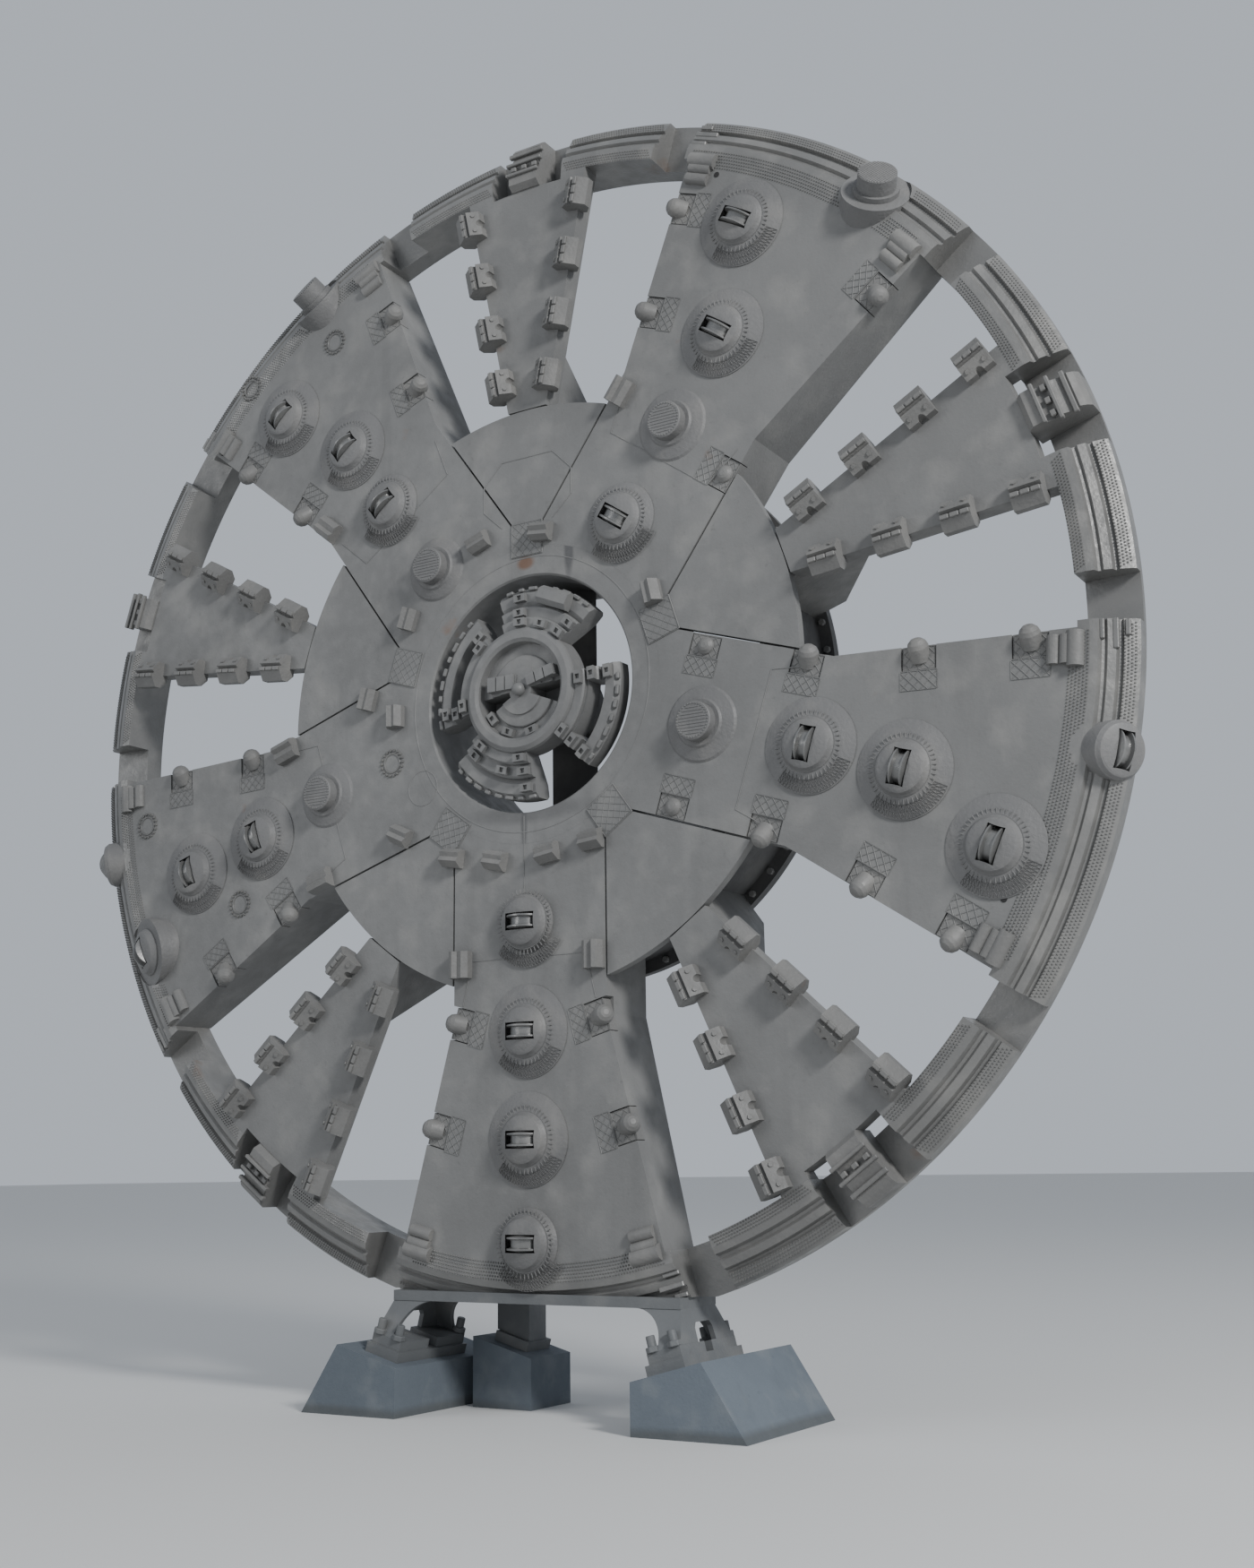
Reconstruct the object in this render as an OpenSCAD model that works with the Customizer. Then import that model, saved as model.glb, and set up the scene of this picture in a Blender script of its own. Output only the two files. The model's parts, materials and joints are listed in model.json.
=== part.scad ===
/* [Overall] */
// Height of the wheel's axis above the floor
axis_h = 8000; // [7950:10:8200]
// Distance from the wheel's front face back to the middle of the stand
front_to_mid = 600; // [560:10:640]
// Gap between pieces that are welded together face to face
seam = 0.8; // [0.5:0.1:0.9]

/* [Rim] */
// Outer radius of the rim
rim_r = 7000; // [6950:10:7100]
// Width of the rim from its inner radius to its outer radius
rim_w = 550; // [520:10:600]
// Depth of the rim from front to back
rim_depth = 600; // [560:10:700]
// Depth of the rim's front part, which the gaps cut through
shoe_depth = 350; // [320:5:400]
// Width of the flat band round the rim's inner edge
rim_flat = 120; // [80:5:160]
// Radial thickness lost towards the rim's rear edge
rim_taper = 120; // [60:10:180]
// Depth of the rim's bevel at its outer radius
bevel_depth = 235; // [200:5:280]
// Depth of the grooves between the bevel's ridges
groove_depth = 28; // [10:2:45]
// Width of each gap in the rim's front part, in degrees
rim_gap_deg = 4.2; // [3:0.1:6]

/* [Main spokes] */
// Half width of a spoke's straight inner part
spoke_half_w = 1020; // [980:5:1030]
// Half angle of a spoke's flared outer part
spoke_half_deg = 15.3; // [14.8:0.1:15.6]
// Depth of a spoke's box in its straight part
spoke_depth = 850; // [800:10:950]
// Width of a tool pocket along a spoke's edge
pocket_w = 380; // [340:5:400]
// Reach of a tool pocket into the spoke
pocket_in = 250; // [230:5:280]
// Depth of a tool pocket
pocket_depth = 160; // [140:5:200]

/* [Secondary spokes] */
// Half width of a secondary spoke at the petal's edge
arm_half_in = 270; // [240:5:300]
// Half width of a secondary spoke at the rim
arm_half_out = 870; // [820:10:900]
// Thickness of a secondary spoke's plate
arm_t = 240; // [200:10:300]
// Half width of the gusset behind a secondary spoke's root
gusset_half_w = 230; // [180:10:240]
// Radius at which the gusset leaves the plate
gusset_r = 4520; // [4300:20:4700]
// Half angle of the window cut through the rim at a secondary spoke
window_half_deg = 4.5; // [4:0.1:5]
// Reach of that window into the spoke's plate
window_in = 90; // [60:5:120]

/* [Hub] */
// Radius of the hole for the centre cutter
hub_in_r = 1400; // [1360:10:1430]
// Outer radius of the centre ring
hub_r = 1760; // [1750:5:1800]
// Outer radius of the petal plates
petal_r = 3474; // [3400:10:3550]
// Thickness of a petal plate
petal_t = 120; // [80:5:160]
// Gap between a petal and the spokes beside it
petal_gap = 24; // [10:1:35]
// Radius of a petal's inner end
petal_in_r = 1850; // [1820:5:1900]
// Outer radius of the drum behind the petals
drum_r = 3100; // [3050:10:3150]
// Thickness of the drum's wall
drum_t = 150; // [100:10:200]
// Depth of the drum's rear edge behind the front face
drum_depth = 1400; // [1300:10:1450]
// Outer radius of the drum's rear flange
flange_r = 3250; // [3230:5:3300]
// Inner radius of the drum's rear flange
flange_in_r = 2750; // [2650:10:2850]
// Thickness of the rear flange
flange_t = 120; // [90:5:150]
// Pitch radius of the flange's bolt holes
bolt_pitch_r = 3165; // [3155:5:3175]
// Radius of a flange bolt hole
bolt_hole_r = 30; // [20:1:40]
// Depth of a flange bolt hole
bolt_hole_depth = 90; // [60:5:85]
// Number of flange bolt holes
bolt_count = 30; // [30:30:60]

/* [Disc cutters] */
// Radius of a disc cutter's cutting edge
disc_r = 216; // [205:1:220]
// Distance between a cutter's two discs
disc_gap = 120; // [100:2:125]
// Thickness of a disc at its cutting edge
disc_tip = 18; // [10:1:24]
// Radius of a cutter's hub
cutter_hub_r = 118; // [110:1:122]
// Length of a cutter's hub
cutter_len = 236; // [222:2:240]
// Clearance beside a cutter's hub
cutter_side_clear = 10; // [7:1:14]
// Rise of the dome beside a cutter above the mouth
dome_h = 30; // [15:1:40]
// Radius of the fixed pin that a cutter turns on
pin_r = 60; // [50:1:70]
// Radial clearance between pin and cutter
pin_clear = 0.5; // [0.2:0.1:0.8]
// Radius of a housing's mouth
mouth_r = 240; // [236:1:246]
// Outer radius of a housing's upper ring
collar_r = 300; // [290:1:310]
// Height of the mouth above the cutter's axis
mouth_h = 119; // [100:1:130]
// Height of the cutter's axis above the spoke's face
cutter_h = 41; // [30:1:50]
// Clearance round a cutter in its housing
cup_clear = 14; // [10:1:20]
// Thickness of a housing's floor
cup_floor = 60; // [40:5:90]
// Radius of a blank cap
cap_r = 215; // [200:1:230]
// Height of a blank cap above its collar
cap_h = 150; // [100:5:200]

/* [Edge tools] */
// Radius of a round-nosed peg
peg_r = 110; // [95:1:120]
// Length of a peg
peg_len = 235; // [215:5:260]
// Height of a peg beside a petal above the face
peg_low = 50; // [30:5:80]
// Lean of a peg away from the wheel's axis direction
peg_lean = 50; // [40:1:60]
// Length of a scraper block along the edge
scraper_len = 330; // [280:5:350]
// Overhang of a scraper block past the edge
scraper_out = 170; // [150:5:190]
// Height of a scraper block above the face
scraper_h = 210; // [180:5:240]
// Radius of the round notch in a scraper block
scraper_notch_r = 45; // [35:1:60]
// Length of a rounded lip bar at the rim
lip_len = 350; // [300:5:380]
// Radius of a lip bar
lip_r = 90; // [70:1:100]

/* [Centre cutter] */
// Outer radius of the centre cutter's sectors
cc_r = 1250; // [1200:5:1270]
// Radius where the outer arc begins
cc_arc_in_r = 1015; // [980:5:1040]
// Radius where the third terrace begins
cc_mid_r = 865; // [840:5:900]
// Outer radius of the middle ring
cc_ring_r = 740; // [710:5:780]
// Radius of the dish inside the middle ring
cc_dish_r = 560; // [530:5:590]
// Radius of the round middle boss
cc_boss_r = 430; // [400:5:450]
// Height of the middle ring's crest above the wheel's face
cc_front = 200; // [170:5:230]
// Drop from one terrace to the next
cc_drop = 62; // [50:2:70]
// Thickness of a sector at its outer arc
cc_sector_t = 270; // [220:10:320]
// Size of a cutter block's square hole
cc_hole = 56; // [30:2:60]
// Radius of the shaft
shaft_r = 200; // [160:5:220]
// Depth of the centre cutter's back behind the front face
cc_back = 610; // [560:10:640]

/* [Stand] */
// Depth of the flat cut into the rim's lowest point
cut_in = 320; // [300:5:340]
// Thickness of the cradle plate under the rim
cradle_t = 110; // [90:5:120]
// Length of a concrete block from front to back
block_len = 2000; // [1960:10:2060]
// Distance from the middle to a block's inner face
block_in_x = 1500; // [1450:10:1540]
// Distance from the middle to a block's outer upper edge
block_top_x = 2320; // [2280:10:2400]
// Distance from the middle to a block's outer foot
block_out_x = 2820; // [2760:10:2900]
// Height of a block's outer upper edge
block_h = 750; // [735:5:765]
// Slope of a block's top
block_slope = 15.2; // [14:0.1:16]
// Width of a foot plate
foot_w = 460; // [430:10:480]
// Length of a foot plate from front to back
foot_len = 1260; // [1200:10:1300]
// Thickness of one layer of a foot plate
foot_t = 110; // [95:5:115]
// Distance from the middle to a leg's outer foot
leg_out_x = 1960; // [1940:5:1980]
// Length of a leg's foot from front to back
leg_len = 1100; // [1040:10:1120]
// Length of a leg's top from front to back
leg_top_len = 730; // [650:10:800]
// Thickness of a leg's plates
leg_plate_t = 60; // [40:5:80]
// Lean of a leg's outer plate
lean_deg = 17; // [16:0.5:18]
// Radius of the curve at a leg's inner side
leg_arc_r = 390; // [350:5:400]
// Distance from the middle to the rear block's inner face
rear_in_x = 520; // [480:10:560]
// Width of the rear block
rear_w = 800; // [740:10:860]

/* [Hidden] */
$fn = 96;
fine = 360;

spoke_step = 360 / 5;
first_spoke_deg = 270;
reach = 2 * rim_r;
rim_in_r = rim_r - rim_w;
straight_r = spoke_half_w / sin(spoke_half_deg);
flare_x = spoke_half_w / tan(spoke_half_deg);
drum_in_r = drum_r - drum_t;
arm_start_x = petal_r + petal_gap / 2;
arm_edge_deg = atan((arm_half_out - arm_half_in) / (rim_in_r - arm_start_x));
mm_lap = 1;

// How a cutting position is held: on the spoke's face, in a leaning body, or in the rim's bevel
ON_FACE = 0;
IN_BODY = 1;
IN_RIM = 2;

// Cutting positions: spoke, radius, degrees from the spoke's axis, outward lean,
// axis height above the face, base or body radius, holding, roller number (0 is a blank cap)
positions = [
    [0, 2660, 0, 0, cutter_h, 340, ON_FACE, 1],
    [0, 3875, 0, 0, cutter_h, 520, ON_FACE, 2],
    [0, 5050, 0, 0, cutter_h, 520, ON_FACE, 3],
    [0, 6150, 0, 0, cutter_h, 380, ON_FACE, 4],
    [1, 2380, 1.2, 0, cutter_h, 430, ON_FACE, 0],
    [1, 3730, 0.8, 0, cutter_h, 520, ON_FACE, 1],
    [1, 4830, 0.1, 0, cutter_h, 520, ON_FACE, 2],
    [1, 5990, -5.2, 0, cutter_h, 520, ON_FACE, 3],
    [1, 6860, 5.1, 55, -150, 290, IN_RIM, 4],
    [2, 2240, 0.9, 0, cutter_h, 440, ON_FACE, 1],
    [2, 3450, 0.8, 0, cutter_h, 430, ON_FACE, 0],
    [2, 4600, 0.8, 0, cutter_h, 520, ON_FACE, 2],
    [2, 5820, 5.7, 0, cutter_h, 520, ON_FACE, 3],
    [2, 6700, -6.7, 40, -60, 380, IN_BODY, 0],
    [3, 2180, 1.3, 0, cutter_h, 400, ON_FACE, 0],
    [3, 3380, 1.5, 0, cutter_h, 420, ON_FACE, 1],
    [3, 4460, 0.9, 0, cutter_h, 520, ON_FACE, 2],
    [3, 5680, 5.5, 0, cutter_h, 520, ON_FACE, 3],
    [3, 6700, -6.0, 40, -60, 380, IN_BODY, 0],
    [4, 3090, -1.8, 0, cutter_h, 400, ON_FACE, 0],
    [4, 4220, -0.2, 0, cutter_h, 520, ON_FACE, 1],
    [4, 5370, -0.4, 0, cutter_h, 520, ON_FACE, 2],
    [4, 6400, 5.7, 25, 20, 430, IN_BODY, 3],
    [4, 6860, -6.8, 55, -150, 290, IN_RIM, 4]
];

// Round-nosed pegs: spoke, side (+1 is the side that turns first), radii along that edge
pegs = [
    [0, 1, [3870, 5080]],
    [0, -1, [3870, 5080]],
    [1, 1, [2400, 3590, 4810, 5980]],
    [1, -1, [2500, 3590, 4840, 5960]],
    [2, 1, [4600, 5850]],
    [2, -1, [3400, 5850]],
    [3, 1, [4490, 5730]],
    [3, -1, [4480, 5630]],
    [4, 1, [4200, 5430]],
    [4, -1, [4230, 5460]]
];

// Flat blocks on the main spokes' edges: spoke, side, radii
blocks = [
    [0, 1, [3250]],
    [0, -1, [3250]],
    [2, 1, [3650]],
    [3, 1, [3940]],
    [4, 1, [3600]],
    [4, -1, [3650]]
];

// Blocks round the centre ring: radius, angle, turn of the block
ring_table = [
    [2100, 241, 20], [1970, 258, 0], [1930, 279, 0], [2020, 296, -20],
    [2330, 220, 25], [2050, 109, 0], [1910, 83, 0], [2070, 146, 15],
    [1900, 181, 0], [1920, 27.5, -15], [2340, 174, -10]
];

// Rows of scraper blocks on the secondary spokes: first radius, pitch
scraper_rows = [[4050, 714], [3930, 730], [3820, 733], [3880, 733], [3950, 725]];
scraper_count = 4;

// Puts its children in the wheel's own frame: x and y across the face, z out of it
module wheel() {
    translate([0, -front_to_mid, axis_h]) rotate([90, 0, 0]) children();
}

module at_spoke(i) {
    rotate(first_spoke_deg + spoke_step * i) children();
}

module at_arm(i) {
    rotate(first_spoke_deg + spoke_step * (i + 0.5)) children();
}

// x runs out along the spoke's edge, y out of the spoke, z out of the face
module at_spoke_edge(side, r) {
    if (r < straight_r)
        translate([sqrt(r * r - spoke_half_w * spoke_half_w), side * spoke_half_w, 0])
            mirror([0, side < 0 ? 1 : 0, 0]) children();
    else
        rotate(side * spoke_half_deg) translate([r, 0, 0])
            mirror([0, side < 0 ? 1 : 0, 0]) children();
}

module at_arm_edge(side, r) {
    mirror([0, side < 0 ? 1 : 0, 0])
        translate([r, arm_half_in + (r - arm_start_x) * tan(arm_edge_deg), 0])
            rotate(arm_edge_deg) children();
}

module at_position(p) {
    at_spoke(p[0]) rotate(p[2]) translate([p[1], 0, p[4]]) rotate([0, p[3], 0]) children();
}

// Tall wedge with its edge on the axis, which cuts an arc out of a ring
module wedge(from_deg, to_deg) {
    translate([0, 0, -reach / 2]) linear_extrude(reach) polygon([
        [0, 0], [reach * cos(from_deg), reach * sin(from_deg)],
        [reach * cos(to_deg), reach * sin(to_deg)]
    ]);
}

// An upright outline pushed along x, centred
module bar_along_x(len) {
    translate([-len / 2, 0, 0]) rotate([90, 0, 90]) linear_extrude(len) children();
}

module ring(r_out, r_in, z_low, z_high) {
    translate([0, 0, z_low]) difference() {
        cylinder(r = r_out, h = z_high - z_low, $fn = fine);
        translate([0, 0, -mm_lap]) cylinder(r = r_in, h = z_high - z_low + 2 * mm_lap, $fn = fine);
    }
}

// Disc cutter and its housing

module roller_solid() {
    half = cutter_len / 2;
    foot_r = cutter_hub_r + 12;
    groove_r = disc_r - 45;
    rotate([0, 90, 0]) rotate_extrude() polygon([
        [pin_r + pin_clear, -half], [cutter_hub_r - 20, -half], [cutter_hub_r, -half + 20],
        [foot_r, -disc_gap / 2 - disc_flank], [disc_r, -disc_gap / 2 - disc_tip / 2],
        [disc_r, -disc_gap / 2 + disc_tip / 2], [groove_r, -disc_gap / 2 + disc_flank * 0.8],
        [groove_r, disc_gap / 2 - disc_flank * 0.8], [disc_r, disc_gap / 2 - disc_tip / 2],
        [disc_r, disc_gap / 2 + disc_tip / 2], [foot_r, disc_gap / 2 + disc_flank],
        [cutter_hub_r, half - 20], [cutter_hub_r - 20, half], [pin_r + pin_clear, half]
    ]);
}

housing_bottom = -disc_r - cup_clear - cup_floor;
collar_step = 70;
ring_lip = 48;
disc_flank = 26;

module dome_outline(low) {
    polygon([
        [0, low], [collar_r, low], [collar_r, mouth_h - collar_step], [mouth_r + 42, mouth_h - ring_lip],
        [mouth_r + 20, mouth_h - 10], [mouth_r, mouth_h], [mouth_r - 45, mouth_h + dome_h * 0.5],
        [mouth_r - 110, mouth_h + dome_h], [0, mouth_h + dome_h + 6]
    ]);
}

module cone_outline(base_r, face_z) {
    polygon([
        [0, face_z], [base_r, face_z], [base_r, face_z + 12], [collar_r + 12, mouth_h - collar_step - 6],
        [0, mouth_h - collar_step - 6]
    ]);
}

// Room in which a cutter turns, wide at its discs and narrower at its hub
module cutter_room() {
    disc_w = disc_gap + 2 * disc_flank + 2 * cutter_side_clear;
    hub_w = cutter_len + 2 * cutter_side_clear;
    rotate([0, 90, 0]) cylinder(r = disc_r + cup_clear, h = disc_w, center = true, $fn = fine);
    rotate([0, 90, 0]) cylinder(r = cutter_hub_r + cup_clear, h = hub_w, center = true);
}

module fixed_pin() {
    rotate([0, 90, 0]) cylinder(r = pin_r, h = cutter_len + 4 * cutter_side_clear, center = true);
}

module face_housing(base_r) {
    difference() {
        union() {
            rotate_extrude() dome_outline(housing_bottom);
            rotate_extrude() cone_outline(base_r, -cutter_h);
        }
        cutter_room();
    }
    fixed_pin();
}

module blank_on_face(base_r) {
    translate([0, 0, -cutter_h]) {
        rotate_extrude() polygon([
            [0, 0], [base_r, 0], [base_r - 25, 22], [cap_r + 65, 60], [cap_r + 45, 85],
            [cap_r, 85], [cap_r, cap_h + 50], [cap_r - 12, cap_h + 62], [0, cap_h + 62]
        ]);
        translate([0, 0, housing_bottom + cutter_h]) cylinder(r = collar_r, h = -housing_bottom - cutter_h);
    }
}

// Leaning body in the rim, cut off by the rim's own outer surface
module body_in_rim(p, top) {
    intersection() {
        at_position(p) translate([0, 0, housing_bottom]) cylinder(r = p[5], h = top - housing_bottom);
        translate([0, 0, -rim_depth]) cylinder(r = rim_r, h = 2 * rim_depth, $fn = fine);
    }
}

module leaning_blank(p) {
    body_in_rim(p, 20);
    at_position(p) translate([0, 0, 20 - mm_lap]) {
        cylinder(r = cap_r + 40, h = 60);
        cylinder(r = cap_r, h = cap_h + 80);
    }
}

module leaning_housing(p) {
    difference() {
        union() {
            body_in_rim(p, 30);
            at_position(p) rotate_extrude() dome_outline(0);
        }
        at_position(p) cutter_room();
    }
    at_position(p) fixed_pin();
}

module rim_housing(p) {
    at_position(p) {
        difference() {
            rotate_extrude() intersection() {
                dome_outline(housing_bottom);
                translate([0, housing_bottom]) square([p[5], 3 * collar_r]);
            }
            cutter_room();
        }
        fixed_pin();
    }
}

// Everything that a cutting position takes out of the spokes and the rim
module position_holes(i) {
    for (p = positions)
        if (p[0] == i)
            at_position(p) translate([0, 0, housing_bottom])
                cylinder(r = p[6] == ON_FACE ? collar_r : p[5], h = 3 * disc_r - housing_bottom);
}

module housings(i) {
    color("slategray") wheel() for (p = positions)
        if (p[0] == i) {
            if (p[6] == ON_FACE && p[7] > 0) at_position(p) face_housing(p[5]);
            if (p[6] == ON_FACE && p[7] == 0) at_position(p) blank_on_face(p[5]);
            if (p[6] == IN_BODY && p[7] > 0) leaning_housing(p);
            if (p[6] == IN_BODY && p[7] == 0) leaning_blank(p);
            if (p[6] == IN_RIM) rim_housing(p);
        }
}

module roller(i, n) {
    color("dimgray") wheel() for (p = positions)
        if (p[0] == i && p[7] == n) at_position(p) roller_solid();
}

// Main spokes

module spoke_outline() {
    out_y = reach * tan(spoke_half_deg);
    polygon([
        [0, -spoke_half_w], [flare_x, -spoke_half_w], [reach, -out_y],
        [reach, out_y], [flare_x, spoke_half_w], [0, spoke_half_w]
    ]);
}

module spoke_side() {
    slope = (spoke_depth - rim_depth) / (rim_in_r - flare_x);
    polygon([
        [0, 0], [rim_r, 0], [rim_r, -spoke_depth + (rim_r - flare_x) * slope],
        [flare_x, -spoke_depth], [0, -spoke_depth]
    ]);
}

module spoke_box() {
    difference() {
        intersection() {
            translate([0, 0, -spoke_depth]) linear_extrude(spoke_depth) spoke_outline();
            translate([0, reach / 2, 0]) rotate([90, 0, 0]) linear_extrude(reach) spoke_side();
            translate([0, 0, -reach / 2]) cylinder(r = rim_in_r - seam, h = reach, $fn = fine);
        }
        translate([0, 0, -reach / 2]) cylinder(r = hub_r + seam, h = reach, $fn = fine);
    }
}

module pocket() {
    translate([-pocket_w / 2, -pocket_in, -pocket_depth])
        cube([pocket_w, 2 * pocket_in, 2 * pocket_depth]);
}

module spoke(i) {
    color("lightslategray") wheel() difference() {
        at_spoke(i) spoke_box();
        position_holes(i);
        at_spoke(i) for (e = pegs)
            if (e[0] == i)
                for (r = e[2]) at_spoke_edge(e[1], r) pocket();
    }
}

// Secondary spokes

module arm_outline() {
    out_x = reach;
    out_y = arm_half_in + (out_x - arm_start_x) * tan(arm_edge_deg);
    polygon([[arm_start_x, -arm_half_in], [out_x, -out_y], [out_x, out_y], [arm_start_x, arm_half_in]]);
}

module arm(i) {
    gusset_slope = 0.872;
    gusset_low = drum_depth - seam;
    color("lightslategray") wheel() at_arm(i) difference() {
        union() {
            intersection() {
                translate([0, 0, -arm_t]) linear_extrude(arm_t) arm_outline();
                translate([0, 0, -reach / 2]) cylinder(r = rim_in_r - seam, h = reach, $fn = fine);
            }
            translate([0, -arm_half_in, -arm_t])
                cube([arm_start_x, 2 * arm_half_in, arm_t - petal_t - seam]);
            translate([0, gusset_half_w, 0]) rotate([90, 0, 0]) linear_extrude(2 * gusset_half_w)
                polygon([
                    [0, -arm_t], [gusset_r, -arm_t],
                    [gusset_r - (gusset_low - arm_t) * gusset_slope, -gusset_low], [0, -gusset_low]
                ]);
        }
        translate([0, 0, -reach / 2]) cylinder(r = drum_r + seam, h = reach, $fn = fine);
        rotate(-window_half_deg) translate([0, 0, -arm_t - mm_lap])
            rotate_extrude(angle = 2 * window_half_deg, $fn = fine)
                translate([rim_in_r - window_in, 0]) square([rim_r, arm_t + 2 * mm_lap]);
    }
}

// Hub

module petal_outline() {
    half_step = spoke_step / 2;
    apex = (spoke_half_w + petal_gap) / sin(half_step);
    difference() {
        intersection() {
            circle(r = petal_r, $fn = fine);
            polygon([
                [apex, 0],
                [apex + reach * cos(half_step), reach * sin(half_step)],
                [apex + reach * cos(half_step), -reach * sin(half_step)]
            ]);
        }
        circle(r = petal_in_r, $fn = fine);
    }
}

module petals() {
    color("silver") wheel() for (i = [0:4])
        at_arm(i) translate([0, 0, -petal_t]) linear_extrude(petal_t) petal_outline();
}

ledge_w = 80;
ledge_z = 330;
tube_t = 120;
hub_chamfer = 20;

// Thick ring between the spokes, which runs back as a thinner tube
module hub_ring() {
    color("silver") wheel() rotate_extrude($fn = fine) polygon([
        [hub_in_r + hub_chamfer, 0], [hub_r, 0], [hub_r, seam - ledge_z], [hub_in_r, seam - ledge_z],
        [hub_in_r, -hub_chamfer]
    ]);
}

// Thick wall behind the ring that the main spokes' roots are welded to
module hub_sleeve() {
    color("silver") wheel() ring(hub_r, hub_in_r + ledge_w, -spoke_depth, -ledge_z);
}

// Thinner tube from the spokes' backs to the drum's rear edge
module hub_tube() {
    color("silver") wheel()
        ring(hub_in_r + ledge_w + tube_t, hub_in_r + ledge_w, -drum_depth, -spoke_depth - seam);
}

module drum() {
    notch_half_w = spoke_half_w + seam;
    color("dimgray") wheel() difference() {
        ring(drum_r, drum_in_r, -drum_depth, -petal_t - seam);
        for (i = [0:4])
            at_spoke(i) translate([0, -notch_half_w, -spoke_depth - seam])
                cube([petal_r, 2 * notch_half_w, spoke_depth]);
    }
}

module rear_flange() {
    color("dimgray") wheel() difference() {
        ring(flange_r, flange_in_r, -drum_depth - flange_t, -drum_depth);
        for (k = [0:bolt_count - 1])
            rotate((k + 0.5) * 360 / bolt_count)
                translate([bolt_pitch_r, 0, -drum_depth - flange_t - mm_lap])
                    cylinder(r = bolt_hole_r, h = bolt_hole_depth + mm_lap);
    }
}

beam_half_w = 320;
beam_back_half_w = 65;
beam_front = 1000;
beam_back = 1380;
bearing_r = 420;
shaft_clear = 0.5;
bearing_front = cc_back + 10;
shaft_end = beam_front - 50;

// Beam across the hub's tube with the centre cutter's bearing on it
module cross_beam() {
    color("dimgray") wheel() difference() {
        union() {
            intersection() {
                rotate([90, 0, 0]) linear_extrude(reach, center = true) polygon([
                    [-beam_half_w, -beam_front], [beam_half_w, -beam_front],
                    [beam_back_half_w, -beam_back], [-beam_back_half_w, -beam_back]
                ]);
                translate([0, 0, -drum_depth])
                    cylinder(r = hub_in_r + ledge_w - seam, h = drum_depth, $fn = fine);
            }
            translate([0, 0, -beam_front - mm_lap])
                cylinder(r = bearing_r, h = beam_front - bearing_front + mm_lap);
        }
        translate([0, 0, -shaft_end - 10])
            cylinder(r = shaft_r + shaft_clear, h = shaft_end);
    }
}

// Rim

half_gap_deg = rim_gap_deg / 2;
shoe_half_deg = spoke_step / 4 - half_gap_deg;
band_taper_depth = 420;

function bevel_r(t) = rim_in_r + rim_flat + t * (rim_r - rim_in_r - rim_flat);
function bevel_z(t) = -t * bevel_depth;

// The ridged bevel between the flat inner band and the largest radius
module shoe_outline() {
    polygon([
        [rim_in_r, -shoe_depth - mm_lap], [rim_in_r, 0], [bevel_r(0), 0],
        [bevel_r(0.17), bevel_z(0.08)], [bevel_r(0.22), bevel_z(0.22) - groove_depth],
        [bevel_r(0.29), bevel_z(0.29) - groove_depth], [bevel_r(0.36), bevel_z(0.30)],
        [bevel_r(0.53), bevel_z(0.45)], [bevel_r(0.57), bevel_z(0.57) - groove_depth],
        [bevel_r(0.63), bevel_z(0.63) - groove_depth], [bevel_r(0.68), bevel_z(0.62)],
        [bevel_r(0.92), bevel_z(0.86)], [rim_r, bevel_z(1)], [rim_r, -shoe_depth - mm_lap]
    ]);
}

// Wedges over the rim's cutting segments, a whole one at each spoke and a split one at each arm
module segment_wedges() {
    for (i = [0:4]) {
        at_spoke(i) wedge(-shoe_half_deg, shoe_half_deg);
        for (s = [-1, 1]) at_arm(i) wedge(s * window_half_deg, s * shoe_half_deg);
    }
}

// Everything below the flat cut under the rim
module below_cut() {
    translate([-reach / 2, -reach - (rim_r - cut_in), -reach / 2]) cube([reach, reach, reach]);
}

module rim_front() {
    color("silver") wheel() difference() {
        union() {
            ring(rim_r, rim_in_r, -band_taper_depth, -shoe_depth);
            intersection() {
                rotate_extrude($fn = fine) shoe_outline();
                segment_wedges();
            }
        }
        below_cut();
        for (i = [0:4]) position_holes(i);
    }
}

module rim_back() {
    color("silver") wheel() difference() {
        rotate_extrude($fn = fine) polygon([
            [rim_in_r, -rim_depth], [rim_in_r, -band_taper_depth],
            [rim_r, -band_taper_depth], [rim_r - rim_taper, -rim_depth]
        ]);
        below_cut();
        for (i = [0:4]) position_holes(i);
    }
}

gate_half_w = 200;

// Ridged holder between the two halves of the rim's split segment
module gate_blocks() {
    plate_end = rim_in_r - window_in;
    span = rim_r - plate_end;
    gate_low = shoe_depth - seam;
    color("slategray") wheel() for (i = [0:4])
        at_arm(i) intersection() {
            rotate([90, 0, 0]) linear_extrude(2 * gate_half_w, center = true) polygon([
                [plate_end - mm_lap, -gate_low], [plate_end - mm_lap, 20], [plate_end + span * 0.09, 90],
                [plate_end + span * 0.25, 90], [plate_end + span * 0.31, 30], [plate_end + span * 0.43, 10],
                [plate_end + span * 0.53, 45], [plate_end + span * 0.62, 10], [plate_end + span * 0.75, -30],
                [plate_end + span * 0.84, 0], [plate_end + span * 0.93, -50], [rim_r + mm_lap, -120],
                [rim_r + mm_lap, -gate_low]
            ]);
            ring(rim_r, plate_end + seam, -gate_low, shoe_depth);
        }
}

// Tools on the edges

module peg(len) {
    nose = 30;
    rotate_extrude() polygon([
        [0, 0], [peg_r, 0], [peg_r, len - 90], [peg_r - 16, len - 45],
        [peg_r - 50, len - 12], [nose, len], [0, len]
    ]);
}

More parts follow.
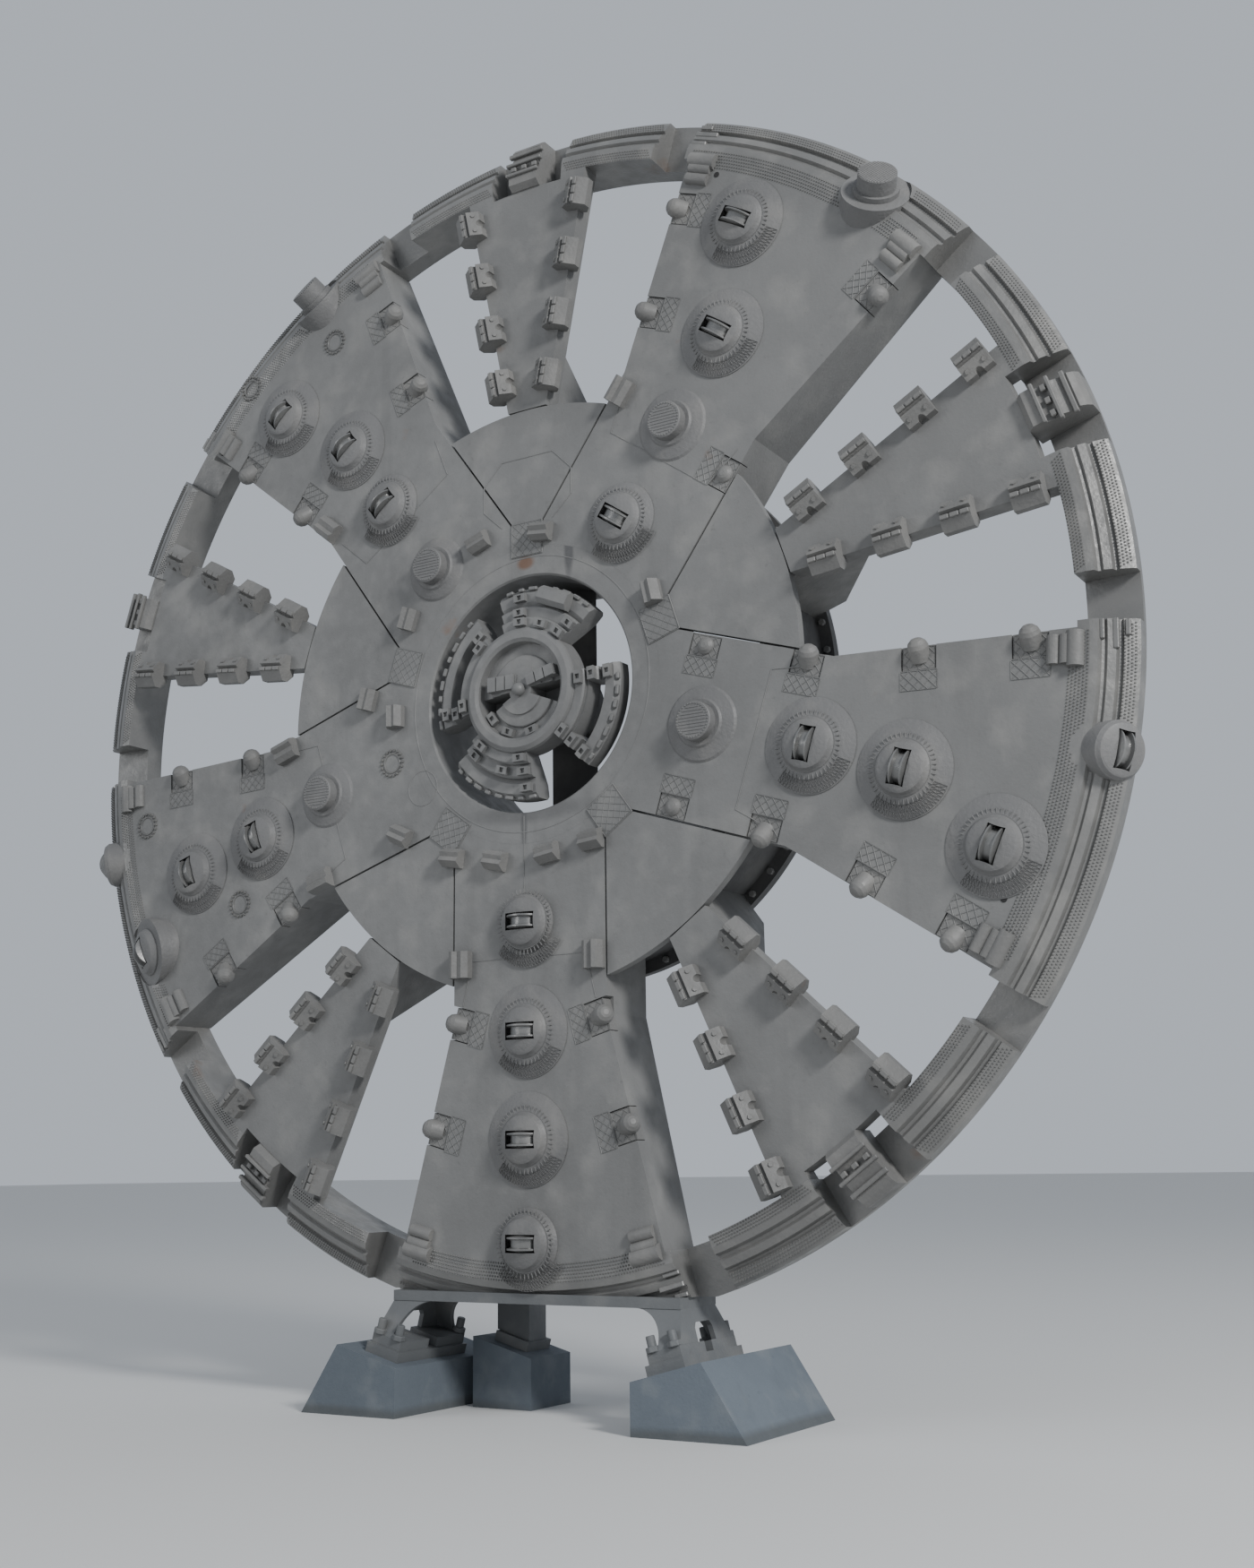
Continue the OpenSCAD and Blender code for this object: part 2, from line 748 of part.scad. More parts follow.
// The peg leans out over the edge, and stands upright and low where a petal is beside it
module peg_tool(r) {
    holder_w = pocket_w - 20;
    holder_h = pocket_depth - 15;
    foot_h = peg_r * sin(peg_lean) + 5;
    translate([-holder_w / 2, -pocket_in, -pocket_depth]) cube([holder_w, pocket_in, holder_h]);
    translate([0, -pocket_in / 2, -pocket_depth + foot_h])
        if (r < petal_r + peg_r) peg(pocket_depth - foot_h + peg_low);
        else rotate([-peg_lean, 0, 0]) peg(peg_len);
}

module edge_pegs() {
    color("gray") wheel() for (e = pegs, r = e[2])
        at_spoke(e[0]) at_spoke_edge(e[1], r) peg_tool(r);
}

// Hooked cutting block over a plate's edge, with a round notch in its inner side
module scraper() {
    hook = 80;
    difference() {
        bar_along_x(scraper_len) polygon([
            [-scraper_out, 0], [-scraper_out, scraper_h * 0.5], [-42, scraper_h * 0.96],
            [-14, scraper_h * 0.76], [24, scraper_h], [scraper_out, scraper_h * 0.55],
            [scraper_out, 20], [hook, -hook], [seam, -hook], [seam, 0]
        ]);
        translate([0, -scraper_out, -hook]) cylinder(r = scraper_notch_r, h = scraper_h + hook);
    }
}

block_w = 250;
block_top = 170;

// Lower block that keeps to its own plate beside a petal
module flat_block(out) {
    bar_along_x(pocket_w * 0.8) polygon([
        [-block_w, 0], [-block_w, 90], [-block_w + 60, 140], [-120, 120],
        [-80, block_top], [out - 30, block_top - 20], [out, 60], [out, 0]
    ]);
}

module edge_blocks() {
    color("gray") wheel() for (e = blocks, r = e[2])
        at_spoke(e[0]) at_spoke_edge(e[1], r) flat_block(0);
}

module arm_scrapers() {
    color("gray") wheel() for (i = [0:4], s = [-1, 1], j = [0:scraper_count - 1])
        at_arm(i) at_arm_edge(s, scraper_rows[i][0] + scraper_rows[i][1] * j) scraper();
}

module lip_bars() {
    color("gray") wheel() for (i = [0:4], s = [-1, 1])
        at_spoke(i) rotate(s * (spoke_half_deg - 1.9)) translate([rim_in_r - 20, 0, 0])
            rotate([90, 0, 0]) linear_extrude(lip_len, center = true)
                intersection() {
                    circle(r = lip_r);
                    translate([-lip_r, 0]) square([2 * lip_r, lip_r]);
                }
}

ring_block_len = 260;

module ring_blocks() {
    color("gray") wheel() for (b = ring_table)
        rotate(b[1]) translate([b[0], 0, 0]) rotate(b[2]) {
            rotate([90, 0, 0]) linear_extrude(ring_block_len, center = true) polygon([
                [-110, 0], [110, 0], [110, 60], [40, 165], [-10, 130], [-60, 150], [-110, 70]
            ]);
        }
}

// Centre cutter

// Sectors of the centre cutter: middle, half width, 1 where it has a window
sectors = [[75.5, 32.5, 0], [159.5, 34, 1], [246.5, 30, 0], [339.5, 29, 1]];
dish_z = cc_front - 130;
boss_z = dish_z + 35;
ring_foot_z = -110;
neck_r = cc_ring_r - 200;

// Height of the cutter's stepped front at a radius
function terrace_z(r) =
    r < cc_dish_r ? dish_z :
    r < cc_ring_r ? cc_front :
    r < cc_mid_r ? cc_front - cc_drop :
    r < cc_arc_in_r ? cc_front - 2 * cc_drop : cc_front - 3 * cc_drop + 12;

// Opening between the middle boss and the ring
module dish_opening(from_deg, to_deg) {
    rotate(from_deg) rotate_extrude(angle = to_deg - from_deg)
        translate([150, ring_foot_z - 60]) square([cc_dish_r - 150, cc_front - ring_foot_z + 120]);
}

module centre_core() {
    ball_r = 78;
    color("slategray") wheel() {
        translate([0, 0, -shaft_end]) cylinder(r = shaft_r, h = shaft_end - cc_back + mm_lap);
        difference() {
            rotate_extrude() polygon([
                [0, -cc_back], [neck_r - 60, -cc_back], [neck_r, -cc_back + 60], [neck_r, ring_foot_z - 90],
                [cc_ring_r, ring_foot_z], [cc_ring_r, cc_front - cc_drop], [cc_ring_r - 12, cc_front - 30],
                [cc_ring_r - 60, cc_front], [cc_dish_r + 45, cc_front], [cc_dish_r + 8, cc_front - 30],
                [cc_dish_r, dish_z], [cc_boss_r, dish_z], [cc_boss_r - 8, boss_z - 8],
                [cc_boss_r - 20, boss_z],
                [cc_boss_r - 140, boss_z + 12], [cc_boss_r - 148, boss_z + 34], [ball_r + 40, boss_z + 44],
                [0, boss_z + 44]
            ]);
            dish_opening(183, 208);
            dish_opening(-22, 8);
        }
        translate([0, 0, boss_z + 40 + ball_r / 2]) sphere(r = ball_r);
        translate([-cc_boss_r, 105, 0]) nose_bar(170);
        rotate(14) translate([130, 60, 0]) nose_bar(130);
    }
}

// Stepped sector between the middle ring and the outer arc
module sector_outline() {
    top_1 = terrace_z(cc_ring_r);
    top_2 = terrace_z(cc_mid_r);
    top_3 = terrace_z(cc_arc_in_r);
    polygon([
        [cc_ring_r + seam, ring_foot_z], [cc_ring_r + seam, top_1],
        [cc_mid_r - 20, top_1], [cc_mid_r, top_1 - 20],
        [cc_mid_r, top_2], [cc_arc_in_r - 22, top_2], [cc_arc_in_r, top_2 - 22],
        [cc_arc_in_r, top_3 - 26], [cc_arc_in_r + 60, top_3], [cc_r - 60, top_3],
        [cc_r, top_3 - 55], [cc_r, top_3 - cc_sector_t + 40], [cc_r - 40, top_3 - cc_sector_t],
        [cc_arc_in_r + 60, top_3 - cc_sector_t], [cc_mid_r + 20, ring_foot_z - 60]
    ]);
}

module centre_arcs() {
    side_deg = 9;
    window_wall = 26;
    color("gray") wheel() for (t = sectors)
        rotate(t[0]) difference() {
            rotate(-t[1]) rotate_extrude(angle = 2 * t[1], $fn = fine) sector_outline();
            if (t[2] == 1) rotate(side_deg - t[1])
                rotate_extrude(angle = 2 * (t[1] - side_deg), $fn = fine)
                    translate([cc_mid_r + window_wall, -cc_sector_t - 100])
                        square([cc_arc_in_r + 60 - cc_mid_r - window_wall, cc_sector_t + 400]);
        }
}

// Cutter blocks on the terraces: radius, angle
cc_table = [
    [800, 68], [800, 89], [805, 49], [950, 48], [935, 92], [1130, 93],
    [805, 134], [800, 186], [950, 130], [945, 189], [1120, 186],
    [800, 228], [945, 226], [940, 253], [800, 270], [945, 271], [1130, 271],
    [805, 2], [945, 4], [1125, 4], [805, 316], [945, 315], [1125, 314],
    [497, 247], [497, 285], [497, 214]
];
cc_block = [90, 150, 62];

module cc_block_solid(blk) {
    difference() {
        translate([-blk[0] / 2, -blk[1] / 2, 0]) cube(blk);
        translate([-cc_hole / 2, -cc_hole / 2, blk[2] / 2]) cube([cc_hole, cc_hole, blk[2]]);
    }
}

// Bar of three blocks beside the nose
module nose_bar(wide) {
    pitch = 125;
    translate([0, -wide / 2, dish_z]) cube([3 * pitch, wide, 95]);
    for (j = [0:2])
        translate([pitch * j, -wide / 2, dish_z]) cube([pitch - 14, wide, 125]);
}

gouge_in = 230;
gouge_len = 420;

module gouge_block() {
    translate([cc_r - gouge_in, 0, terrace_z(cc_r)]) rotate([90, 0, 0])
        linear_extrude(gouge_len, center = true)
            polygon([[0, 0], [190, 0], [215, 60], [170, 130], [60, 140], [0, 90]]);
}

module centre_teeth() {
    color("darkgray") wheel() {
        for (b = cc_table)
            rotate(b[1]) translate([b[0], 0, terrace_z(b[0])]) cc_block_solid(cc_block);
        rotate(67) gouge_block();
    }
}

// Stand

cradle_z = axis_h - rim_r + cut_in - cradle_t;
cradle_front = 575;
cradle_back = 180;
leg_mid_y = -200;
leg_foot_z = 890;
foot_mid_x = leg_out_x - 130;
rear_len = 800;
rear_rise = 30;
rear_leg_w = 440;
rear_leg_len = 340;
rear_hollow_len = rear_leg_len - 2 * leg_plate_t;
leg_top_w = 160;
leg_window_half = 260;
leg_window_down = 140;
leg_window_slant = 80;
leg_window_corner = 50;
leg_window_bevel = 40;
tongue_side = 60;
tongue_past_leg = 30;
pad_margin = 30;
pad_end_margin = 40;
pad_notch = 150;
rear_mid_x = -rear_in_x - rear_w / 2;
rear_mid_y = block_len / 2 - rear_len / 2;

function block_top_z(x) = block_h - (block_top_x - x) * tan(block_slope);
function leg_outer_x(z) = leg_out_x - (z - leg_foot_z) * tan(lean_deg);
leg_narrowing = (leg_len - leg_top_len) / 2 / (cradle_z - leg_foot_z);
function leg_half_len(z) = leg_len / 2 - (z - leg_foot_z) * leg_narrowing;

// The upright outline is pushed from the front to the back
module along_y(from_y, to_y) {
    translate([0, to_y, 0]) rotate([90, 0, 0]) linear_extrude(to_y - from_y) children();
}

module both_sides() {
    for (s = [0, 1]) mirror([s, 0, 0]) children();
}

module concrete_blocks() {
    rear_h = block_top_z(block_in_x) + rear_rise;
    color("lightgray") {
        both_sides() along_y(-block_len / 2, block_len / 2) polygon([
            [block_in_x, 0], [block_out_x, 0], [block_top_x, block_h], [block_in_x, block_top_z(block_in_x)]
        ]);
        along_y(block_len / 2 - rear_len, block_len / 2) polygon([
            [-rear_in_x, 0], [-rear_in_x, rear_h], [-rear_in_x - rear_w, rear_h + rear_w * tan(block_slope)],
            [-rear_in_x - rear_w, 0]
        ]);
    }
}

// x across a block's sloped top, z square to it
module on_block() {
    translate([foot_mid_x, leg_mid_y, block_top_z(foot_mid_x)]) rotate([0, -block_slope, 0]) children();
}

module foot_plates() {
    pad_w = foot_w - 2 * pad_margin;
    pad_len = (foot_len - 2 * pad_end_margin - pad_notch) / 2;
    color("slategray") {
        both_sides() on_block() {
            translate([-foot_w / 2, -foot_len / 2, seam]) cube([foot_w, foot_len, foot_t]);
            for (s = [-1, 1])
                translate([-pad_w / 2, s * (pad_len + pad_notch) / 2 - pad_len / 2, foot_t])
                    cube([pad_w, pad_len, foot_t + seam]);
        }
        on_rear_block() translate([-foot_w / 2, -foot_w / 2, seam]) cube([foot_w, foot_w, foot_t]);
    }
}

// Outline of a leg seen from the front, its outer plate moved in by a plate's thickness or not
module leg_front_outline(inset, lap) {
    polygon([
        [0, 0], [leg_outer_x(0) - inset, 0], [leg_outer_x(cradle_z + lap) - inset, cradle_z + lap],
        [0, cradle_z + lap]
    ]);
}

module leg_side_outline(inset, lap) {
    low = leg_half_len(0) - inset;
    high = leg_half_len(cradle_z + lap) - inset;
    polygon([[-low, 0], [low, 0], [high, cradle_z + lap], [-high, cradle_z + lap]]);
}

// Leaning leg of an outer plate with a window and two cheeks curved at the inner side
module leg() {
    arc_x = leg_outer_x(cradle_z) - leg_arc_r - leg_top_w;
    window_top = cradle_z - leg_window_down;
    shoulder = leg_window_half - leg_window_slant;
    corner = shoulder - leg_window_bevel;
    difference() {
        intersection() {
            along_y(-leg_len, leg_len) difference() {
                leg_front_outline(0, 0);
                translate([arc_x, cradle_z - leg_arc_r]) circle(r = leg_arc_r, $fn = fine);
                square([arc_x, cradle_z]);
                square([arc_x + leg_arc_r, cradle_z - leg_arc_r]);
            }
            rotate([90, 0, 90]) linear_extrude(block_out_x) leg_side_outline(0, 0);
        }
        intersection() {
            along_y(-leg_len, leg_len) leg_front_outline(leg_plate_t, mm_lap);
            rotate([90, 0, 90]) linear_extrude(block_out_x) leg_side_outline(leg_plate_t, mm_lap);
        }
        rotate([90, 0, 90]) linear_extrude(block_out_x) polygon([
            [-leg_window_half, 0], [leg_window_half, 0], [shoulder, window_top - leg_window_corner],
            [corner, window_top], [-corner, window_top], [-shoulder, window_top - leg_window_corner]
        ]);
    }
}

// x across the rear block's sloped top, z square to it
module on_rear_block() {
    mid_z = block_top_z(block_in_x) + rear_rise + rear_w / 2 * tan(block_slope);
    translate([rear_mid_x, rear_mid_y, mid_z]) rotate([0, block_slope, 0]) children();
}

module stand_legs() {
    color("slategray") {
        both_sides() difference() {
            translate([0, leg_mid_y, 0]) leg();
            on_block() translate([-block_out_x, -leg_len, -block_h])
                cube([2 * block_out_x, 2 * leg_len, block_h + 2 * foot_t + 2 * seam]);
        }
        difference() {
            translate([rear_mid_x - rear_leg_w / 2, rear_mid_y - rear_leg_len / 2, 0])
                difference() {
                    cube([rear_leg_w, rear_leg_len, cradle_z]);
                    translate([-mm_lap, leg_plate_t, -mm_lap])
                        cube([rear_leg_w - leg_plate_t, rear_hollow_len, cradle_z + 2 * mm_lap]);
                }
            on_rear_block() translate([-rear_w, -rear_w, -block_h])
                cube([2 * rear_w, 2 * rear_w, block_h + foot_t + 2 * seam]);
        }
    }
}

// Plate under the rim's cut with a tongue back to the rear leg
module cradle_plate() {
    half_w = leg_outer_x(cradle_z);
    tongue_w = rear_leg_w + 2 * tongue_side;
    color("slategray") {
        translate([-half_w, -cradle_front, cradle_z])
            cube([2 * half_w, cradle_front + cradle_back, cradle_t]);
        translate([rear_mid_x - tongue_w / 2, 0, cradle_z])
            cube([tongue_w, rear_mid_y + rear_leg_len / 2 + tongue_past_leg, cradle_t]);
    }
}

spoke(0);  // spoke_a
spoke(1);  // spoke_b
spoke(2);  // spoke_c
spoke(3);  // spoke_d
spoke(4);  // spoke_e
arm(0);  // arm_ab
arm(1);  // arm_bc
arm(2);  // arm_cd
arm(3);  // arm_de
arm(4);  // arm_ea
petals();
hub_ring();
hub_sleeve();
hub_tube();
drum();
rear_flange();
cross_beam();
rim_front();
rim_back();
gate_blocks();
housings(0);  // housings_a
housings(1);  // housings_b
housings(2);  // housings_c
housings(3);  // housings_d
housings(4);  // housings_e
edge_pegs();
edge_blocks();
arm_scrapers();
lip_bars();
ring_blocks();
roller(0, 1);  // roller_a1
roller(0, 2);  // roller_a2
roller(0, 3);  // roller_a3
roller(0, 4);  // roller_a4
roller(1, 1);  // roller_b1
roller(1, 2);  // roller_b2
roller(1, 3);  // roller_b3
roller(1, 4);  // roller_b4
roller(2, 1);  // roller_c1
roller(2, 2);  // roller_c2
roller(2, 3);  // roller_c3
roller(3, 1);  // roller_d1
roller(3, 2);  // roller_d2
roller(3, 3);  // roller_d3
roller(4, 1);  // roller_e1
roller(4, 2);  // roller_e2
roller(4, 3);  // roller_e3
roller(4, 4);  // roller_e4
centre_core();
centre_arcs();
centre_teeth();
cradle_plate();
stand_legs();
foot_plates();
concrete_blocks();
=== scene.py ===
import json
import math

import bpy
from mathutils import Matrix, Vector

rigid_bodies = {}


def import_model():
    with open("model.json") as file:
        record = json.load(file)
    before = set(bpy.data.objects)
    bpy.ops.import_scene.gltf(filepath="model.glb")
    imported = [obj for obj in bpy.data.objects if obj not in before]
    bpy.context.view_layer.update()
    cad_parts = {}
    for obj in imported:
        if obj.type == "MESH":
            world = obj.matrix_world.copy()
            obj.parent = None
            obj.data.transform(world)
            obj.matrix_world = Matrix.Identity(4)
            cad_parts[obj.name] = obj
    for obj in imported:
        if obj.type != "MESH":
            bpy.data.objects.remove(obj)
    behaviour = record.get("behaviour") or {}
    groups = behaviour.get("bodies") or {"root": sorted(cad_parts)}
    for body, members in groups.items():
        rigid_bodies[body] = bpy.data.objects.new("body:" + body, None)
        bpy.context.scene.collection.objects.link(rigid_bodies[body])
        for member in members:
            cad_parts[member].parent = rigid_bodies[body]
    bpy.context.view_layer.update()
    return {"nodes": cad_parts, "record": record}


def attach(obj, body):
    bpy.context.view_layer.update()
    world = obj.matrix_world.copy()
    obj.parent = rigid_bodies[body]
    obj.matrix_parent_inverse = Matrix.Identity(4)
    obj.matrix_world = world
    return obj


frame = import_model()


# The photographer's place: in front and to the right of the wheel, low down, looking up
# and to the left at it. The lens is a moderate wide angle.
camera_place = (11.413, -17.223, 2.673)
camera_turn = (1.778195, 0.013476, 0.548303)
lens_mm, sensor_mm = 41.474, 36.0
sight_limit = 400.0
bpy.ops.object.select_all(action="DESELECT")
bpy.ops.object.camera_add(location=camera_place, rotation=camera_turn)
camera = bpy.context.object
camera.name = "photo_camera"
camera.data.lens = lens_mm
camera.data.sensor_width = sensor_mm
camera.data.clip_end = sight_limit
bpy.context.scene.camera = camera


# A plain pale studio floor that runs far behind the object, with no edge in view.
floor_size = 600
floor_grey = (0.62, 0.62, 0.61, 1)
floor_roughness = 0.9
bpy.ops.mesh.primitive_plane_add(size=floor_size, location=(0, 0, 0))
floor = bpy.context.object
floor.name = "studio_floor"
floor_paint = bpy.data.materials.new("studio_floor_paint")
floor_paint.use_nodes = True
floor_shader = floor_paint.node_tree.nodes["Principled BSDF"]
floor_shader.inputs["Base Color"].default_value = floor_grey
floor_shader.inputs["Roughness"].default_value = floor_roughness
floor.data.materials.append(floor_paint)

# Soft light: a pale sky all round, one broad lamp from the upper right as the sun stands
# in front of the wheel, and a weak one from the left that opens the shadows.
sky_colour, sky_strength = (0.80, 0.86, 0.95, 1), 0.62
lamps_aim = (0, 0, 7)
sky = bpy.data.worlds.new("pale_sky")
sky.use_nodes = True
sky.node_tree.nodes["Background"].inputs["Color"].default_value = sky_colour
sky.node_tree.nodes["Background"].inputs["Strength"].default_value = sky_strength
bpy.context.scene.world = sky
for lamp_name, place, size, power in (
    ("key_lamp", (36, -17, 26), 8, 17000),
    ("fill_lamp", (-22, -30, 16), 18, 2600),
):
    bpy.ops.object.light_add(type="AREA", location=place)
    lamp = bpy.context.object
    lamp.name = lamp_name
    lamp.data.shape = "DISK"
    lamp.data.size = size
    lamp.data.energy = power
    lamp.rotation_euler = (Vector(lamps_aim) - Vector(place)).to_track_quat("-Z", "Y").to_euler()


# Hub: a rolled and turned steel ring with a sleeve and a tube behind it, welded between the
# spokes. Its matt grey paint is dulled by dust, and stained where water runs down from the
# petals and where it stands on the sill of the round hole.
rust_brown = (0.16, 0.085, 0.045)
plate_grey, plate_dust = (0.176, 0.176, 0.172), (0.240, 0.236, 0.224)
plate_roughness, plate_grain = 0.62, 0.010


# Matt paint on steel that has stood outdoors: light and dark patches, dust, rain streaks,
# specks, a little rust, and oval stains at given places
def weathered_paint(name, colour, dust, roughness, grain, rust=rust_brown, stains=(), bare=0.0):
    patch_shade, streak_shade = 0.80, 0.68
    roughness_swing, bump_strength = 0.12, 0.35
    made = bpy.data.materials.new(name)
    made.use_nodes = True
    nodes, links = made.node_tree.nodes, made.node_tree.links
    shader = nodes["Principled BSDF"]
    place = nodes.new("ShaderNodeTexCoord").outputs["Object"]

    def noise(scale, detail, stretch=(1, 1, 1)):
        mapping = nodes.new("ShaderNodeMapping")
        mapping.inputs["Scale"].default_value = stretch
        links.new(place, mapping.inputs["Vector"])
        tex = nodes.new("ShaderNodeTexNoise")
        tex.inputs["Scale"].default_value = scale
        tex.inputs["Detail"].default_value = detail
        links.new(mapping.outputs["Vector"], tex.inputs["Vector"])
        return tex.outputs["Fac"]

    def ramp(value, low, high, to_low=0.0, to_high=1.0):
        node = nodes.new("ShaderNodeMapRange")
        node.inputs["From Min"].default_value = low
        node.inputs["From Max"].default_value = high
        node.inputs["To Min"].default_value = to_low
        node.inputs["To Max"].default_value = to_high
        links.new(value, node.inputs["Value"])
        return node.outputs["Result"]

    def blend(share, first, second):
        node = nodes.new("ShaderNodeMix")
        node.data_type = "RGBA"
        links.new(share, node.inputs["Factor"])
        for socket, value in ((node.inputs["A"], first), (node.inputs["B"], second)):
            if isinstance(value, tuple):
                socket.default_value = (*value, 1)
            else:
                links.new(value, socket)
        return node.outputs["Result"]

    # Tint over what lies below it, from where the noise reaches begins to where it is full
    def coat(below, tint, scale, detail, begins, full, share=1.0, stretch=(1, 1, 1)):
        return blend(ramp(noise(scale, detail, stretch), begins, full, to_high=share), below, tint)

    # An oval stain, strongest inside solid_to of its half sizes and gone at gone_at
    def stain(below, middle, half, tint, share, solid_to=0.6, gone_at=1.1):
        centred = nodes.new("ShaderNodeVectorMath")
        centred.operation = "SUBTRACT"
        centred.inputs[1].default_value = middle
        links.new(place, centred.inputs[0])
        scaled = nodes.new("ShaderNodeVectorMath")
        scaled.operation = "DIVIDE"
        scaled.inputs[1].default_value = half
        links.new(centred.outputs["Vector"], scaled.inputs[0])
        reach = nodes.new("ShaderNodeVectorMath")
        reach.operation = "LENGTH"
        links.new(scaled.outputs["Vector"], reach.inputs[0])
        fade = ramp(reach.outputs["Value"], solid_to, gone_at, to_low=share, to_high=0.0)
        return blend(fade, below, tint)

    dark = tuple(c * patch_shade for c in colour)
    streak = tuple(c * streak_shade for c in colour)
    result = coat(dark, colour, scale=0.55, detail=8, begins=0.38, full=0.66)
    result = coat(result, dust, scale=2.3, detail=6, begins=0.50, full=0.80, share=0.7)
    result = coat(result, streak, scale=2.1, detail=5, begins=0.56, full=0.80, share=0.75,
                  stretch=(1, 1, 0.10))
    result = coat(result, streak, scale=14, detail=9, begins=0.66, full=0.78, share=0.5)
    result = coat(result, rust, scale=1.3, detail=9, begins=0.72, full=0.80, share=0.6)
    for middle, half, tint, share in stains:
        result = stain(result, middle, half, tint, share)
    links.new(result, shader.inputs["Base Color"])
    uneven = ramp(noise(scale=7, detail=4), low=0.3, high=0.7, to_low=roughness - roughness_swing,
                  to_high=min(1.0, roughness + roughness_swing))
    links.new(uneven, shader.inputs["Roughness"])
    shader.inputs["Metallic"].default_value = bare
    bump = nodes.new("ShaderNodeBump")
    bump.inputs["Strength"].default_value = bump_strength
    bump.inputs["Distance"].default_value = grain
    links.new(noise(scale=26, detail=5), bump.inputs["Height"])
    links.new(bump.outputs["Normal"], shader.inputs["Normal"])
    return made


def paint_nodes(paint, starts):
    for node in frame["nodes"]:
        if node.startswith(starts):
            frame["nodes"][node].data.materials.clear()
            frame["nodes"][node].data.materials.append(paint)


joints = {joint["name"]: joint for joint in frame["record"]["behaviour"]["joints"]}
axis_place = Vector(joints["centre_cutter_turn"]["pos_m"])
water_dark, sill_rust = (0.07, 0.07, 0.072), (0.13, 0.060, 0.028)
stain_depth = 1.0
# Each stain: across and up from the axis, half width, half height, colour, share
hub_stains = [
    ((axis_place.x + across, axis_place.y, axis_place.z + up), (half_w, stain_depth, half_h), tint, share)
    for across, up, half_w, half_h, tint, share in (
        (0.58, 1.62, 0.07, 0.36, water_dark, 0.85),
        (-0.02, 1.57, 0.13, 0.09, sill_rust, 0.8),
        (-0.05, -1.54, 0.05, 0.30, water_dark, 0.6),
        (0.0, -1.40, 0.9, 0.14, water_dark, 0.5),
    )]
hub_paint = weathered_paint(
    "hub_paint", plate_grey, plate_dust, plate_roughness, plate_grain, stains=hub_stains)
paint_nodes(hub_paint, ("hub_ring", "hub_sleeve", "hub_tube"))


# Drum, its rear flange and the beam across the hub's tube: rolled and welded plate behind
# the wheel's face, in the same paint, darker because it stands in the shade.
drum_paint = weathered_paint(
    "drum_paint", colour=(0.105, 0.105, 0.105), dust=(0.15, 0.147, 0.138),
    roughness=0.75, grain=0.010)
paint_nodes(drum_paint, ("drum", "rear_flange", "cross_beam"))

# Bolt heads: hexagon heads of the forged bolts to the bearing drive, screwed in a circle
# into the front of the rear flange and seen through the windows.
bolt_steel = weathered_paint(
    "bolt_steel", colour=(0.22, 0.22, 0.215), dust=(0.30, 0.29, 0.27), roughness=0.5, grain=0.004)
bolt_count, bolt_circle_r, flange_front = 60, 3.178, -1.400
hexagon, head_r, head_h, head_bevel = 6, 0.042, 0.05, 0.006
on_wheel = Matrix.Translation(axis_place) @ Matrix.Rotation(math.radians(90), 4, "X")


def round_bar(sides, radius, length, place, turn=(0, 0, 0)):
    bpy.ops.object.select_all(action="DESELECT")
    bpy.ops.mesh.primitive_cylinder_add(
        vertices=sides, radius=radius, depth=length, location=place, rotation=turn)
    bpy.ops.object.transform_apply(location=True, rotation=True)
    return bpy.context.object


def bevel_all(width):
    bpy.ops.object.mode_set(mode="EDIT")
    bpy.ops.mesh.select_all(action="SELECT")
    bpy.ops.mesh.bevel(offset=width, segments=1)
    bpy.ops.object.mode_set(mode="OBJECT")


# Repeats the active piece by a constant step or by a turn about the wheel's axis
def repeat(count, step=None, turn=None):
    piece = bpy.context.object
    array = piece.modifiers.new("repeat", "ARRAY")
    array.count = count
    array.use_relative_offset = False
    if step:
        array.use_constant_offset = True
        array.constant_offset_displace = step
        bpy.ops.object.modifier_apply(modifier="repeat")
        return
    pivot = bpy.data.objects.new("turning_point", None)
    bpy.context.collection.objects.link(pivot)
    pivot.rotation_euler = (0, 0, math.radians(turn))
    bpy.context.view_layer.update()
    array.use_object_offset = True
    array.offset_object = pivot
    bpy.ops.object.modifier_apply(modifier="repeat")
    bpy.data.objects.remove(pivot)


# Lays copies of one piece on the wheel's face, x and y across it and z out of it, and
# joins them into one piece whose place is in its mesh
def spread(master, places, name, paint, body="wheel_on_stand"):
    twins = []
    for place in places:
        twin = master.copy()
        twin.data = master.data.copy()
        bpy.context.collection.objects.link(twin)
        twin.matrix_world = on_wheel @ place @ master.matrix_world
        twins.append(twin)
    bpy.data.objects.remove(master)
    bpy.ops.object.select_all(action="DESELECT")
    for twin in twins:
        twin.select_set(True)
    bpy.context.view_layer.objects.active = twins[0]
    if len(twins) > 1:
        bpy.ops.object.join()
    piece = bpy.context.object
    bpy.ops.object.transform_apply(location=True, rotation=True, scale=True)
    bpy.ops.object.mode_set(mode="EDIT")
    bpy.ops.mesh.select_all(action="SELECT")
    bpy.ops.mesh.normals_make_consistent(inside=False)
    bpy.ops.object.mode_set(mode="OBJECT")
    piece.name = name
    piece.data.materials.clear()
    piece.data.materials.append(paint)
    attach(piece, body)
    return piece


bolt_head = round_bar(hexagon, head_r, head_h, (bolt_circle_r, 0, flange_front + head_h / 2))
bevel_all(head_bevel)
repeat(bolt_count, turn=360 / bolt_count)
spread(bolt_head, [Matrix.Identity(4)], "flange_bolt_heads", bolt_steel)


